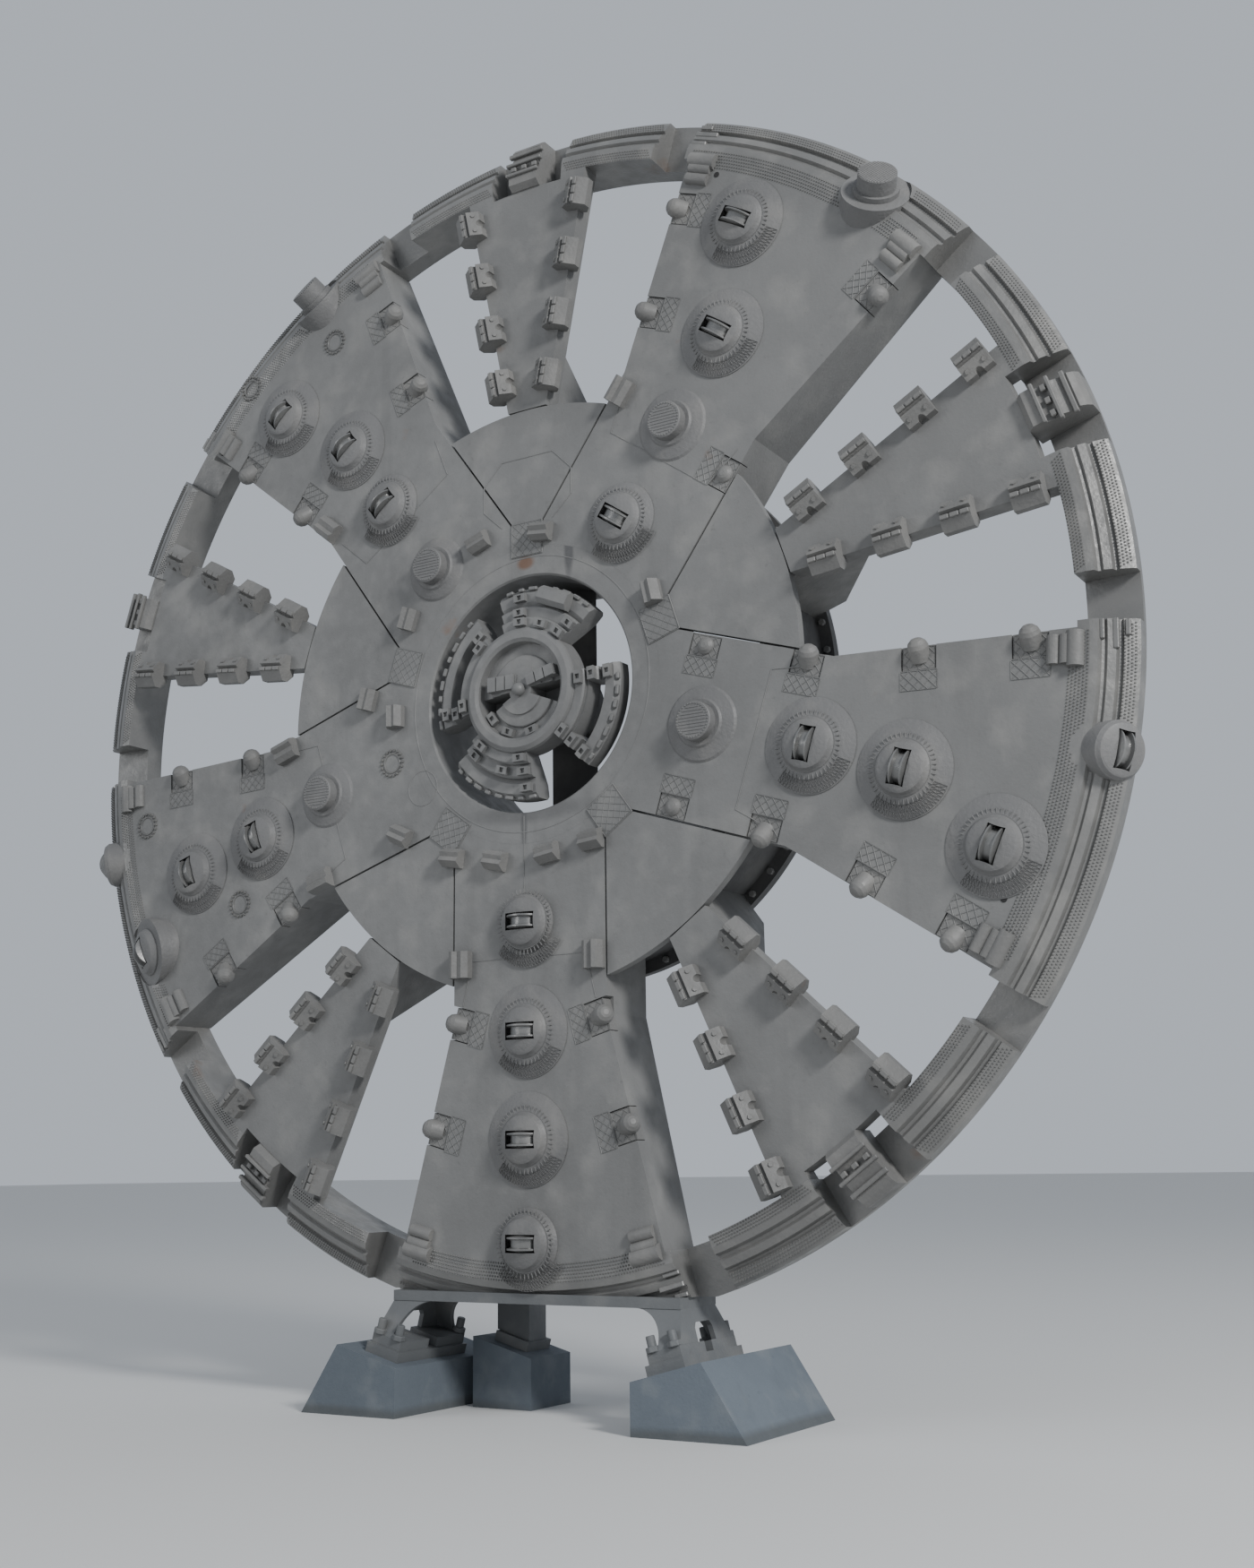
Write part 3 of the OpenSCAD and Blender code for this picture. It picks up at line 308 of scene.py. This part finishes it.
# Spokes, arms and petals: thick steel plate, cut and welded into flat boxes, in the same
# paint as the hub, with rain streaks down the face and a little rust in them.
face_paint = weathered_paint("face_paint", plate_grey, plate_dust, plate_roughness, plate_grain)
paint_nodes(face_paint, ("spoke_", "arm_ab", "arm_bc", "arm_cd", "arm_de", "arm_ea", "petals"))

# Weld seams: thin raised beads of weld metal where the hub ring is let in, down the lower
# spoke, round the eight-sided patch on the top petal and where each spoke's plates meet.
# One small ring beside the hub closes a round hole.
first_spoke, spoke_step = 270, 72
spoke_degs = [first_spoke + spoke_step * number for number in range(360 // spoke_step)]
arm_degs = [deg + spoke_step / 2 for deg in spoke_degs]
bead_r, bead_sides = 0.007, 6
ring_seam_r, ring_seam_steps = 1.63, 120
plug_seam_r, plug_seam_steps, plug_place = 0.21, 40, (-1.502, -0.947, 0)
spoke_seam_x, spoke_seam_low, spoke_seam_high = -0.05, -2.42, -1.44
patch_side = [(-0.36, 2.06), (-0.62, 2.30), (-0.62, 2.62), (-0.36, 2.88)]
plate_joint_r, plate_joint_out_r, plate_joint_half = 3.05, 3.55, 0.77
flare_half, flare_r = 0.78, 3.1


def turned(degrees):
    return Matrix.Rotation(math.radians(degrees), 4, "Z")


def joined(parts):
    bpy.ops.object.select_all(action="DESELECT")
    for part in parts:
        part.select_set(True)
    bpy.context.view_layer.objects.active = parts[0]
    bpy.ops.object.join()
    return parts[0]


def seam(points):
    parts = []
    for start, end in zip(points, points[1:]):
        run = Vector((end[0] - start[0], end[1] - start[1], 0))
        middle = ((start[0] + end[0]) / 2, (start[1] + end[1]) / 2, 0)
        heading = math.atan2(run.y, run.x) + math.radians(90)
        parts.append(round_bar(bead_sides, bead_r, run.length, middle, (math.radians(90), 0, heading)))
    return parts


# A round bead, pressed a little flat on the plate it is welded to
def round_seam(radius, bead, place, steps, flatness=0.7):
    bpy.ops.object.select_all(action="DESELECT")
    bpy.ops.mesh.primitive_torus_add(major_radius=radius, minor_radius=bead, major_segments=steps,
                                     minor_segments=bead_sides, location=place)
    bpy.ops.object.transform_apply(location=True)
    bpy.ops.object.mode_set(mode="EDIT")
    bpy.ops.mesh.select_all(action="SELECT")
    bpy.ops.transform.resize(value=(1, 1, flatness), center_override=place)
    bpy.ops.object.mode_set(mode="OBJECT")
    return bpy.context.object


patch = patch_side + [(-x, y) for x, y in reversed(patch_side)]
seams = [round_seam(ring_seam_r, bead_r, (0, 0, 0), ring_seam_steps),
         round_seam(plug_seam_r, bead_r, plug_place, plug_seam_steps)]
seams += seam(patch) + seam([(spoke_seam_x, spoke_seam_high), (spoke_seam_x, spoke_seam_low)])
for deg in spoke_degs:
    for half in (flare_half, -flare_half):
        seams += seam([turned(deg) @ Vector((r, half * (r / flare_r), 0))
                       for r in (plate_joint_r, plate_joint_out_r)])
    seams += seam([turned(deg) @ Vector((plate_joint_r, y, 0))
                   for y in (-plate_joint_half, plate_joint_half)])
spread(joined(seams), [Matrix.Identity(4)], "weld_seams", face_paint)

# Corner plates: square steel plates welded over the petals' tips beside the hub ring, with
# crossed weld beads on them.
tip_r, tip_size, tip_up, tip_bevel = 1.86, (0.42, 0.44, 0.016), 0.004, 0.005
tip_beads_long, tip_beads_deep, tip_beads_up = 0.40, 0.42, 0.013


def bevelled_bar(size, place, bevel):
    bpy.ops.object.select_all(action="DESELECT")
    bpy.ops.mesh.primitive_cube_add(size=1, location=place)
    bar = bpy.context.object
    bar.scale = size
    bpy.ops.object.transform_apply(location=True, scale=True)
    bevel_all(bevel)
    return bar


# Crossed beads: a grid of wires at 45 degrees, trimmed to a rectangle
def hatched_pad(long, deep, height, grid=0.9, meshes=12, wire=0.009):
    bpy.ops.object.select_all(action="DESELECT")
    bpy.ops.mesh.primitive_grid_add(x_subdivisions=meshes, y_subdivisions=meshes, size=grid,
                                    location=(0, 0, height), rotation=(0, 0, math.radians(45)))
    pad = bpy.context.object
    bpy.ops.object.transform_apply(location=True, rotation=True)
    bpy.ops.object.mode_set(mode="EDIT")
    for edge, outward in (((long / 2, 0, 0), (1, 0, 0)), ((-long / 2, 0, 0), (-1, 0, 0)),
                          ((0, deep / 2, 0), (0, 1, 0)), ((0, -deep / 2, 0), (0, -1, 0))):
        bpy.ops.mesh.select_all(action="SELECT")
        bpy.ops.mesh.bisect(plane_co=edge, plane_no=outward, clear_outer=True)
    bpy.ops.object.mode_set(mode="OBJECT")
    wires = pad.modifiers.new("wires", "WIREFRAME")
    wires.thickness = wire
    bpy.ops.object.modifier_apply(modifier="wires")
    return pad


tip_plate = bevelled_bar(tip_size, (tip_r, 0, tip_up), tip_bevel)
tip_beads = hatched_pad(tip_beads_long, tip_beads_deep, tip_beads_up)
tip_beads.matrix_world = Matrix.Translation((tip_r, 0, 0))
spread(joined([tip_plate, tip_beads]), [turned(deg) for deg in arm_degs],
       "tip_plates", face_paint)


# Rim: cast segments welded on a full ring, with ridges on their bevel, paler and a little
# bare where the ground has rubbed the paint off.
rim_paint = weathered_paint(
    "rim_paint", colour=(0.215, 0.213, 0.206), dust=(0.30, 0.292, 0.275),
    roughness=0.42, grain=0.012, bare=0.35)
paint_nodes(rim_paint, ("rim_",))

# Hard-facing studs on the rim: rows of small welded pyramids on the flat inner band and on
# the outer band of the bevel, left out where a leaning housing takes their place.
stud_paint = weathered_paint(
    "stud_paint", colour=(0.125, 0.124, 0.12), dust=(0.20, 0.195, 0.18), roughness=0.5, grain=0.006)
stud_pitch, stud_half, stud_h, stud_sink = 0.035, 0.0161, 0.017, 0.002
segment_half, window_half, flat_band_half = 15.7, 4.7, 14.6
split_segment = ((-segment_half, -window_half), (window_half, segment_half))
bevel_in, bevel_out = (6.866, -0.148), (6.960, -0.201)
# Each band: name, middles of its segments, first and last row as radius and height, rows, arcs
stud_bands = (
    ("inner_studs_main", spoke_degs, (6.375, 0), (6.555, 0), 6, ((-flat_band_half, flat_band_half),)),
    ("inner_studs_arms", arm_degs, (6.465, 0), (6.560, 0), 4, split_segment),
    ("outer_studs_main", spoke_degs, bevel_in, bevel_out, 4, ((-segment_half, segment_half),)),
    ("outer_studs_arms", arm_degs, bevel_in, bevel_out, 4, split_segment),
)
spoke_b, spoke_c, spoke_d, spoke_e = 342, 54, 126, 198
# Angle, radius and reach of the leaning housings: two hold a blank cap, three a disc cutter
leaning_caps = ((spoke_c - 6.7, 6.70, 0.40), (spoke_d - 6.0, 6.70, 0.40))
leaning_cutters = ((spoke_e + 5.7, 6.40, 0.45), (spoke_b + 5.1, 6.80, 0.31), (spoke_e - 6.8, 6.80, 0.31))
flat_cut_h = 1.35


def stud_band(low, high, rows, arcs):
    masters = []
    for from_deg, to_deg in arcs:
        bpy.ops.object.select_all(action="DESELECT")
        bpy.ops.mesh.primitive_cone_add(vertices=4, radius1=stud_half, depth=stud_h,
                                        location=(low[0], 0, low[1] + stud_h / 2 - stud_sink))
        stud = bpy.context.object
        bpy.ops.object.transform_apply(location=True)
        row_step = ((high[0] - low[0]) / (rows - 1), stud_pitch / 2, (high[1] - low[1]) / (rows - 1))
        repeat(rows, step=row_step)
        step_deg = math.degrees(stud_pitch / high[0])
        repeat(int((to_deg - from_deg) / step_deg), turn=step_deg)
        stud.matrix_world = turned(from_deg)
        bpy.ops.object.transform_apply(rotation=True)
        masters.append(stud)
    return masters


# Deletes each whole stud that would stand in a leaning housing or hang below the flat cut
# under the rim
def clear_studs(piece):
    to_wheel = on_wheel.inverted()
    bpy.ops.object.select_all(action="DESELECT")
    piece.select_set(True)
    bpy.context.view_layer.objects.active = piece
    bpy.ops.object.mode_set(mode="EDIT")
    bpy.ops.mesh.select_mode(type="VERT")
    bpy.ops.mesh.select_all(action="DESELECT")
    bpy.ops.object.mode_set(mode="OBJECT")
    for vertex in piece.data.vertices:
        local = to_wheel @ vertex.co
        vertex.select = vertex.co.z < flat_cut_h or any(
            (local.xy - Vector((r, 0)) @ Matrix.Rotation(-math.radians(deg), 2)).length < reach
            for deg, r, reach in leaning_caps + leaning_cutters)
    bpy.ops.object.mode_set(mode="EDIT")
    bpy.ops.mesh.select_linked()
    bpy.ops.mesh.delete(type="VERT")
    bpy.ops.object.mode_set(mode="OBJECT")


for name, degs, low, high, rows, arcs in stud_bands:
    for number, stud_row in enumerate(stud_band(low, high, rows, arcs), start=1):
        studs = spread(stud_row, [turned(deg) for deg in degs], f"{name}_{number}", stud_paint)
        clear_studs(studs)

# Prongs at the ends of the rim's segments: bevelled steel bars of four lengths, welded side
# by side so that they stand past the end.
segment_end, prong_bevel = 15.6, 0.008
end_prong_bars = (
    # Size outwards, along the rim and up, then the place
    ((0.045, 0.26, 0.05), (6.610, -0.10, -0.040)),
    ((0.045, 0.20, 0.05), (6.672, -0.06, -0.070)),
    ((0.055, 0.30, 0.05), (6.795, -0.11, -0.110)),
    ((0.050, 0.16, 0.05), (6.900, -0.05, -0.160)),
)
end_prongs = joined([bevelled_bar(size, place, prong_bevel) for size, place in end_prong_bars])
spread(end_prongs, [turned(deg + segment_end) for deg in spoke_degs], "end_prongs", rim_paint)


# Housings and caps of the cutting positions: turned rings and cones welded to the spokes,
# rough from hard-facing under the paint.
housing_paint = weathered_paint(
    "housing_paint", colour=(0.158, 0.157, 0.155), dust=(0.215, 0.208, 0.196),
    roughness=0.6, grain=0.022)
paint_nodes(housing_paint, ("housings_",))

# Rings of short steel bars round each upright dome, welded on as hard-facing, so that the
# ground wears them first and not the dome.
dome_bar_count, dome_bar_bevel = 44, 0.003
dome_bar_size, dome_bar_place = (0.055, 0.012, 0.012), (0.345, 0, 0.078)
upright_limit = 0.01
upright = [Vector(joint["pos_m"]) for name, joint in joints.items()
           if name.startswith("roller_") and abs(joint["axis"][1]) < upright_limit]
dome_places = [Matrix.Translation((place.x, place.z - axis_place.z, 0)) for place in upright]
dome_bar = bevelled_bar(dome_bar_size, dome_bar_place, dome_bar_bevel)
repeat(dome_bar_count, turn=360 / dome_bar_count)
spread(dome_bar, dome_places, "dome_rings", housing_paint)

# Crossed weld beads on the lower part of each cone, laid on as hard-facing where the loose
# ground rubs most.
cone_out, cone_in = 0.505, 0.375
cone_out_h, cone_in_h = 0.020, 0.066
cone_sides, cone_bead = 40, 0.010
beads_from, beads_to = -140, -25
bpy.ops.object.select_all(action="DESELECT")
bpy.ops.mesh.primitive_cone_add(
    vertices=cone_sides, radius1=cone_out, radius2=cone_in, depth=cone_in_h - cone_out_h,
    end_fill_type="NOTHING", location=(0, 0, (cone_out_h + cone_in_h) / 2))
crossed = bpy.context.object
bpy.ops.object.transform_apply(location=True)
bpy.ops.object.mode_set(mode="EDIT")
bpy.ops.mesh.select_all(action="SELECT")
bpy.ops.mesh.subdivide(number_cuts=1)
bpy.ops.mesh.select_all(action="DESELECT")
bpy.ops.object.mode_set(mode="OBJECT")
for face in crossed.data.polygons:
    middle_deg = math.degrees(math.atan2(face.center.y, face.center.x))
    face.select = not beads_from < middle_deg < beads_to
bpy.ops.object.mode_set(mode="EDIT")
bpy.ops.mesh.select_mode(type="FACE")
bpy.ops.mesh.delete(type="FACE")
bpy.ops.mesh.select_all(action="SELECT")
bpy.ops.mesh.quads_convert_to_tris(quad_method="FIXED")
bpy.ops.object.mode_set(mode="OBJECT")
beads = crossed.modifiers.new("beads", "WIREFRAME")
beads.thickness = cone_bead
beads.use_even_offset = False
bpy.ops.object.modifier_apply(modifier="beads")
spread(crossed, dome_places, "cone_beads", housing_paint)

# Blank caps: turned steel covers welded over unused positions, with a ring of weld dots
# round the top and rows of weld beads across it. The caps that lean in the rim have rows
# only, closer together.
blanks = ((spoke_b + 1.2, 2.38), (spoke_c + 0.8, 3.45), (spoke_d + 1.3, 2.18), (spoke_e - 1.8, 3.09))
blank_places = [turned(deg) @ Matrix.Translation((r, 0, 0)) @ turned(-deg) for deg, r in blanks]
cap_top = 0.213
dot_count, dot_r, dot_circle_r = 34, 0.011, 0.188
dot_sides, dot_rings = 8, 5
row_w, row_bevel = 0.014, 0.004
lean_deg, lean_base, lean_cap_top = 40, -0.060, 0.252


# Straight beads side by side, trimmed to a circle, an odd number of them with one through
# its middle
def bead_rows(beside, pitch, reach, bead_h, height):
    rows = []
    for row in range(-beside, beside + 1):
        y = row * pitch
        half = math.sqrt(reach ** 2 - y ** 2)
        rows.append(bevelled_bar((2 * half, row_w, bead_h), (0, y, height), row_bevel))
    return rows


bpy.ops.object.select_all(action="DESELECT")
bpy.ops.mesh.primitive_uv_sphere_add(
    segments=dot_sides, ring_count=dot_rings, radius=dot_r, location=(dot_circle_r, 0, cap_top))
dot = bpy.context.object
bpy.ops.object.transform_apply(location=True)
repeat(dot_count, turn=360 / dot_count)
cap_face = joined([dot] + bead_rows(beside=4, pitch=0.036, reach=0.165, bead_h=0.012, height=cap_top))
spread(cap_face, blank_places, "cap_faces", housing_paint)
lean_places = [
    turned(deg) @ Matrix.Translation((r, 0, lean_base))
    @ Matrix.Rotation(math.radians(lean_deg), 4, "Y") @ Matrix.Translation((0, 0, lean_cap_top))
    for deg, r, reach in leaning_caps]
knurl = joined(bead_rows(beside=8, pitch=0.024, reach=0.208, bead_h=0.014, height=0))
spread(knurl, lean_places, "knurled_caps", housing_paint)


# Tools on the edges: forged pegs and blocks in welded holders, with the same paint as the
# plates and more wear on it.
tool_paint = weathered_paint(
    "tool_paint", colour=(0.170, 0.168, 0.162), dust=(0.235, 0.228, 0.214),
    roughness=0.58, grain=0.018)
paint_nodes(tool_paint, ("edge_", "arm_scrapers", "lip_bars", "ring_blocks", "gate_blocks"))

# Hatched pads: crossed weld beads on the plate round each peg at the spokes' edges, in the
# pocket and beside it.
spoke_half_w, spoke_half_deg = 1.02, 15.3
straight_r = spoke_half_w / math.sin(math.radians(spoke_half_deg))
# Spoke, side, radii of the pegs along that edge
pegs = ((0, 1, (3.87, 5.08)), (0, -1, (3.87, 5.08)),
        (1, 1, (2.40, 3.59, 4.81, 5.98)), (1, -1, (2.50, 3.59, 4.84, 5.96)),
        (2, 1, (4.60, 5.85)), (2, -1, (3.40, 5.85)),
        (3, 1, (4.49, 5.73)), (3, -1, (4.48, 5.63)),
        (4, 1, (4.20, 5.43)), (4, -1, (4.23, 5.46)))


# The place on a spoke's edge, with y outwards. The edge is straight first, then flares
def at_edge(spoke, side, r):
    across = Matrix.Scale(side, 4, (0, 1, 0))
    if r < straight_r:
        along = math.sqrt(r * r - spoke_half_w ** 2)
        return turned(spoke_degs[spoke]) @ Matrix.Translation((along, side * spoke_half_w, 0)) @ across
    return turned(spoke_degs[spoke] + side * spoke_half_deg) @ Matrix.Translation((r, 0, 0)) @ across


peg_places = [at_edge(spoke, side, r) for spoke, side, radii in pegs for r in radii]
# Each pad: name, length, depth, height, and its middle's distance in from the edge
for pad_name, pad_long, pad_deep, pad_up, pad_in in (
    ("face_pads", 0.40, 0.20, 0.003, 0.36),
    ("pocket_pads", 0.35, 0.23, -0.013, 0.13),
):
    pad = hatched_pad(pad_long, pad_deep, pad_up)
    spread(pad, [place @ Matrix.Translation((0, -pad_in, 0)) for place in peg_places],
           pad_name, face_paint)

# Lip tiles: cast bars with two soft ridges, welded inside the rounded bars at the corners
# of the main spokes.
tile_r, tile_sides, tile_len = 0.07, 24, 0.288
ridge_count, ridge_step = 2, 0.125
tiles_at_r, tiles_in_deg = 6.215, 1.9
lip_tile = round_bar(tile_sides, tile_r, tile_len, (0, 0, 0), (math.radians(90), 0, 0))
bpy.ops.object.mode_set(mode="EDIT")
bpy.ops.mesh.select_all(action="SELECT")
bpy.ops.mesh.bisect(plane_co=(0, 0, 0), plane_no=(0, 0, 1), clear_inner=True, use_fill=True)
bpy.ops.object.mode_set(mode="OBJECT")
repeat(ridge_count, step=(ridge_step, 0, 0))
lip_deg = spoke_half_deg - tiles_in_deg
lip_places = [turned(deg + side * lip_deg) @ Matrix.Translation((tiles_at_r, 0, 0))
              for deg in spoke_degs for side in (-1, 1)]
spread(lip_tile, lip_places, "lip_tiles", tool_paint)

# Prongs on the gates: long bevelled steel bars welded across each gate block, with three
# short blocks between two of them.
gate_prong_bars = (
    # Size outwards, along the rim and up, then the place
    ((0.040, 0.46, 0.05), (6.545, 0, 0.100)),
    ((0.040, 0.50, 0.07), (6.705, 0, 0.045)),
    ((0.060, 0.07, 0.04), (6.640, 0.15, 0.050)),
    ((0.060, 0.07, 0.04), (6.640, -0.15, 0.050)),
    ((0.060, 0.07, 0.04), (6.640, 0.0, 0.050)),
    ((0.050, 0.48, 0.06), (6.850, 0, -0.005)),
)
gate_prongs = joined([bevelled_bar(size, place, prong_bevel) for size, place in gate_prong_bars])
spread(gate_prongs, [turned(deg) for deg in arm_degs], "gate_prongs", tool_paint)

# Carbide inserts on the arms' scraper blocks: three to a block, brazed along the ridge,
# with two sunk bolts behind them.
insert_size, insert_bevel = (0.096, 0.05, 0.05), 0.007
insert_xs, insert_y, insert_up = (-0.11, 0, 0.11), 0.030, 0.198
sunk_r, sunk_len, sunk_tilt = 0.026, 0.03, math.radians(38)
sunk_xs, sunk_y, sunk_up = (-0.105, 0.105), -0.105, 0.155
arm_half_in, arm_half_out = 0.27, 0.87
arm_start, arm_end = 3.486, 6.45
arm_edge_deg = math.degrees(math.atan((arm_half_out - arm_half_in) / (arm_end - arm_start)))
# Radius of the first block and step to the next, for each arm
scraper_rows = ((4.050, 0.714), (3.930, 0.730), (3.820, 0.733), (3.880, 0.733), (3.950, 0.725))
scrapers_in_row = 4
inserts = [bevelled_bar(insert_size, (x, insert_y, insert_up), insert_bevel) for x in insert_xs]
inserts += [round_bar(hexagon, sunk_r, sunk_len, (x, sunk_y, sunk_up), (sunk_tilt, 0, 0)) for x in sunk_xs]
scraper_places = []
for deg, (first_r, step_r) in zip(arm_degs, scraper_rows):
    for side in (-1, 1):
        for number in range(scrapers_in_row):
            r = first_r + step_r * number
            half = arm_half_in + (r - arm_start) * math.tan(math.radians(arm_edge_deg))
            scraper_places.append(turned(deg) @ Matrix.Scale(side, 4, (0, 1, 0))
                                  @ Matrix.Translation((r, half, 0)) @ turned(arm_edge_deg))
spread(joined(inserts), scraper_places, "scraper_inserts", tool_paint)


# Round bosses over closed holes: a thin steel ring with a circle of weld dots round it,
# welded flat on the plate.
boss_r, boss_bead, boss_steps, boss_up = 0.115, 0.012, 40, 0.003
boss_dots, boss_dot_r, boss_dot_circle_r = 18, 0.022, 0.156
boss_dot_sides, boss_dot_rings = 6, 4
boss_places = [(-4.436, 4.838), (-3.005, 5.132), (-4.359, -2.081), (-1.966, -0.584), (-6.032, -0.908)]
boss_ring = round_seam(boss_r, boss_bead, (0, 0, 0), boss_steps)
bpy.ops.object.select_all(action="DESELECT")
bpy.ops.mesh.primitive_uv_sphere_add(
    segments=boss_dot_sides, ring_count=boss_dot_rings, radius=boss_dot_r,
    location=(boss_dot_circle_r, 0, 0))
boss_dot = bpy.context.object
bpy.ops.object.transform_apply(location=True)
repeat(boss_dots, turn=360 / boss_dots)
spread(joined([boss_ring, boss_dot]), [Matrix.Translation((x, y, boss_up)) for x, y in boss_places],
       "boss_rings", stud_paint)

# Small drilled holes in the plates. Each is a thin black disc laid on the face, with a fine bevel round
# its edge: painted shade for the dark inside of the hole.
hole_shade_black, hole_roughness = (0.02, 0.02, 0.02, 1), 0.9
hole_r, hole_sides, hole_h, hole_up, hole_bevel = 0.034, 24, 0.006, 0.002, 0.002
hole_places = [(5.55, -2.88), (2.634, 5.719)]
painted_hole_shade = bpy.data.materials.new("painted_hole_shade")
painted_hole_shade.use_nodes = True
hole_shader = painted_hole_shade.node_tree.nodes["Principled BSDF"]
hole_shader.inputs["Base Color"].default_value = hole_shade_black
hole_shader.inputs["Roughness"].default_value = hole_roughness
hole = round_bar(hole_sides, hole_r, hole_h, (0, 0, hole_up))
bevel_all(hole_bevel)
spread(hole, [Matrix.Translation((x, y, 0)) for x, y in hole_places],
       "drilled_holes", painted_hole_shade)


# Disc cutters: forged and turned steel rings that run on a fixed pin, with the paint worn
# off at their edges, so they shine a little in their housings.
cutter_paint = weathered_paint(
    "cutter_paint", colour=(0.225, 0.225, 0.220), dust=(0.34, 0.332, 0.316),
    roughness=0.34, grain=0.006, bare=0.55)
paint_nodes(cutter_paint, ("roller_",))


# Centre cutter: castings and blocks welded in terraces. Their colour is darker than the face as painted
# shade, because they stand back in the hub's hole.
centre_paint = weathered_paint(
    "centre_paint", colour=(0.165, 0.165, 0.162), dust=(0.225, 0.222, 0.211),
    roughness=0.55, grain=0.012)
paint_nodes(centre_paint, ("centre_",))

# Worn teeth along the centre cutter's outer arcs: small forged lugs of three lengths,
# welded to the arcs' outer edge.
tooth_step, first_tooth = 7.5, 5
tooth_place, tooth_bevel = (1.235, 0, 0.016), 0.010
tooth_w, tooth_short, tooth_longer, tooth_h = 0.045, 0.075, 0.02, 0.05
# Middle and half length of each arc, in degrees
centre_arcs = ((75.5, 32.5), (159.5, 34.0), (246.5, 30.0), (339.5, 29.0))
teeth = []
for middle_deg, half_deg in centre_arcs:
    for number in range(int(2 * half_deg / tooth_step)):
        deg = middle_deg - half_deg + first_tooth + number * tooth_step
        tooth_size = (tooth_w, tooth_short + tooth_longer * (number % 3), tooth_h)
        tooth = bevelled_bar(tooth_size, tooth_place, tooth_bevel)
        tooth.matrix_world = turned(deg)
        bpy.ops.object.transform_apply(rotation=True)
        teeth.append(tooth)
spread(joined(teeth), [Matrix.Identity(4)], "centre_arc_teeth", centre_paint,
       "centre_cutter")


# Steel of the stand: plates welded to hollow legs, and thick foot plates under them, in a
# cooler grey than the wheel.
stand_paint = weathered_paint(
    "stand_paint", colour=(0.135, 0.142, 0.146), dust=(0.20, 0.197, 0.187),
    roughness=0.62, grain=0.010)
paint_nodes(stand_paint, ("cradle_plate", "stand_legs", "foot_plates"))

# Foot studs: thick threaded rods with nuts that hold the legs' feet down on the concrete
# blocks, four to a foot.
rod_r, rod_len, rod_sides = 0.048, 0.17, 24
nut_r, nut_h, rod_bevel = 0.078, 0.06, 0.008
foot_x, foot_y, foot_plates_h = 1.83, -0.20, 0.22
rods_half_x, rods_half_y = 0.13, 0.56
block_top_x, block_h, block_slope = 2.32, 0.75, math.radians(15.2)
block_top = block_h - (block_top_x - foot_x) * math.tan(block_slope)
rod = round_bar(rod_sides, rod_r, rod_len, (0, 0, rod_len / 2))
bevel_all(rod_bevel)
nut = round_bar(hexagon, nut_r, nut_h, (0, 0, nut_h / 2))
bevel_all(rod_bevel)
rod_places = [
    on_wheel.inverted() @ Matrix.Scale(side, 4, (1, 0, 0))
    @ Matrix.Translation((foot_x, foot_y, block_top)) @ Matrix.Rotation(-block_slope, 4, "Y")
    @ Matrix.Translation((x, y, foot_plates_h))
    for side in (-1, 1)
    for x in (-rods_half_x, rods_half_x)
    for y in (-rods_half_y, rods_half_y)]
spread(joined([rod, nut]), rod_places, "foot_studs", stand_paint)


# Concrete blocks: smooth cast concrete. Its dark blue grey colour is painted shade, taken from the blocks'
# faces where they stand in shade, and it grows darker towards the foot. They stand on the ground, and the
# stand's feet are held down on them.
# The dark blue grey base colour is painted shade of the shaded faces, not a coat on the concrete.
concrete_shade_grey, concrete_dust = (0.125, 0.148, 0.172), (0.20, 0.215, 0.222)
algae_grey, foot_dark = (0.13, 0.14, 0.13), (0.07, 0.075, 0.075)
# Darker towards the foot: a soft dark band, about 0.13 m high at the ground under each block.
foot_dark_x, foot_dark_half, foot_dark_share = 2.4, (2.0, 3.0, 0.12), 0.7
concrete = weathered_paint(
    "concrete_in_painted_shade", concrete_shade_grey, concrete_dust, roughness=0.85, grain=0.012, rust=algae_grey,
    stains=[((x, 0, 0), foot_dark_half, foot_dark, foot_dark_share) for x in (foot_dark_x, -foot_dark_x)])
paint_nodes(concrete, ("concrete_blocks",))
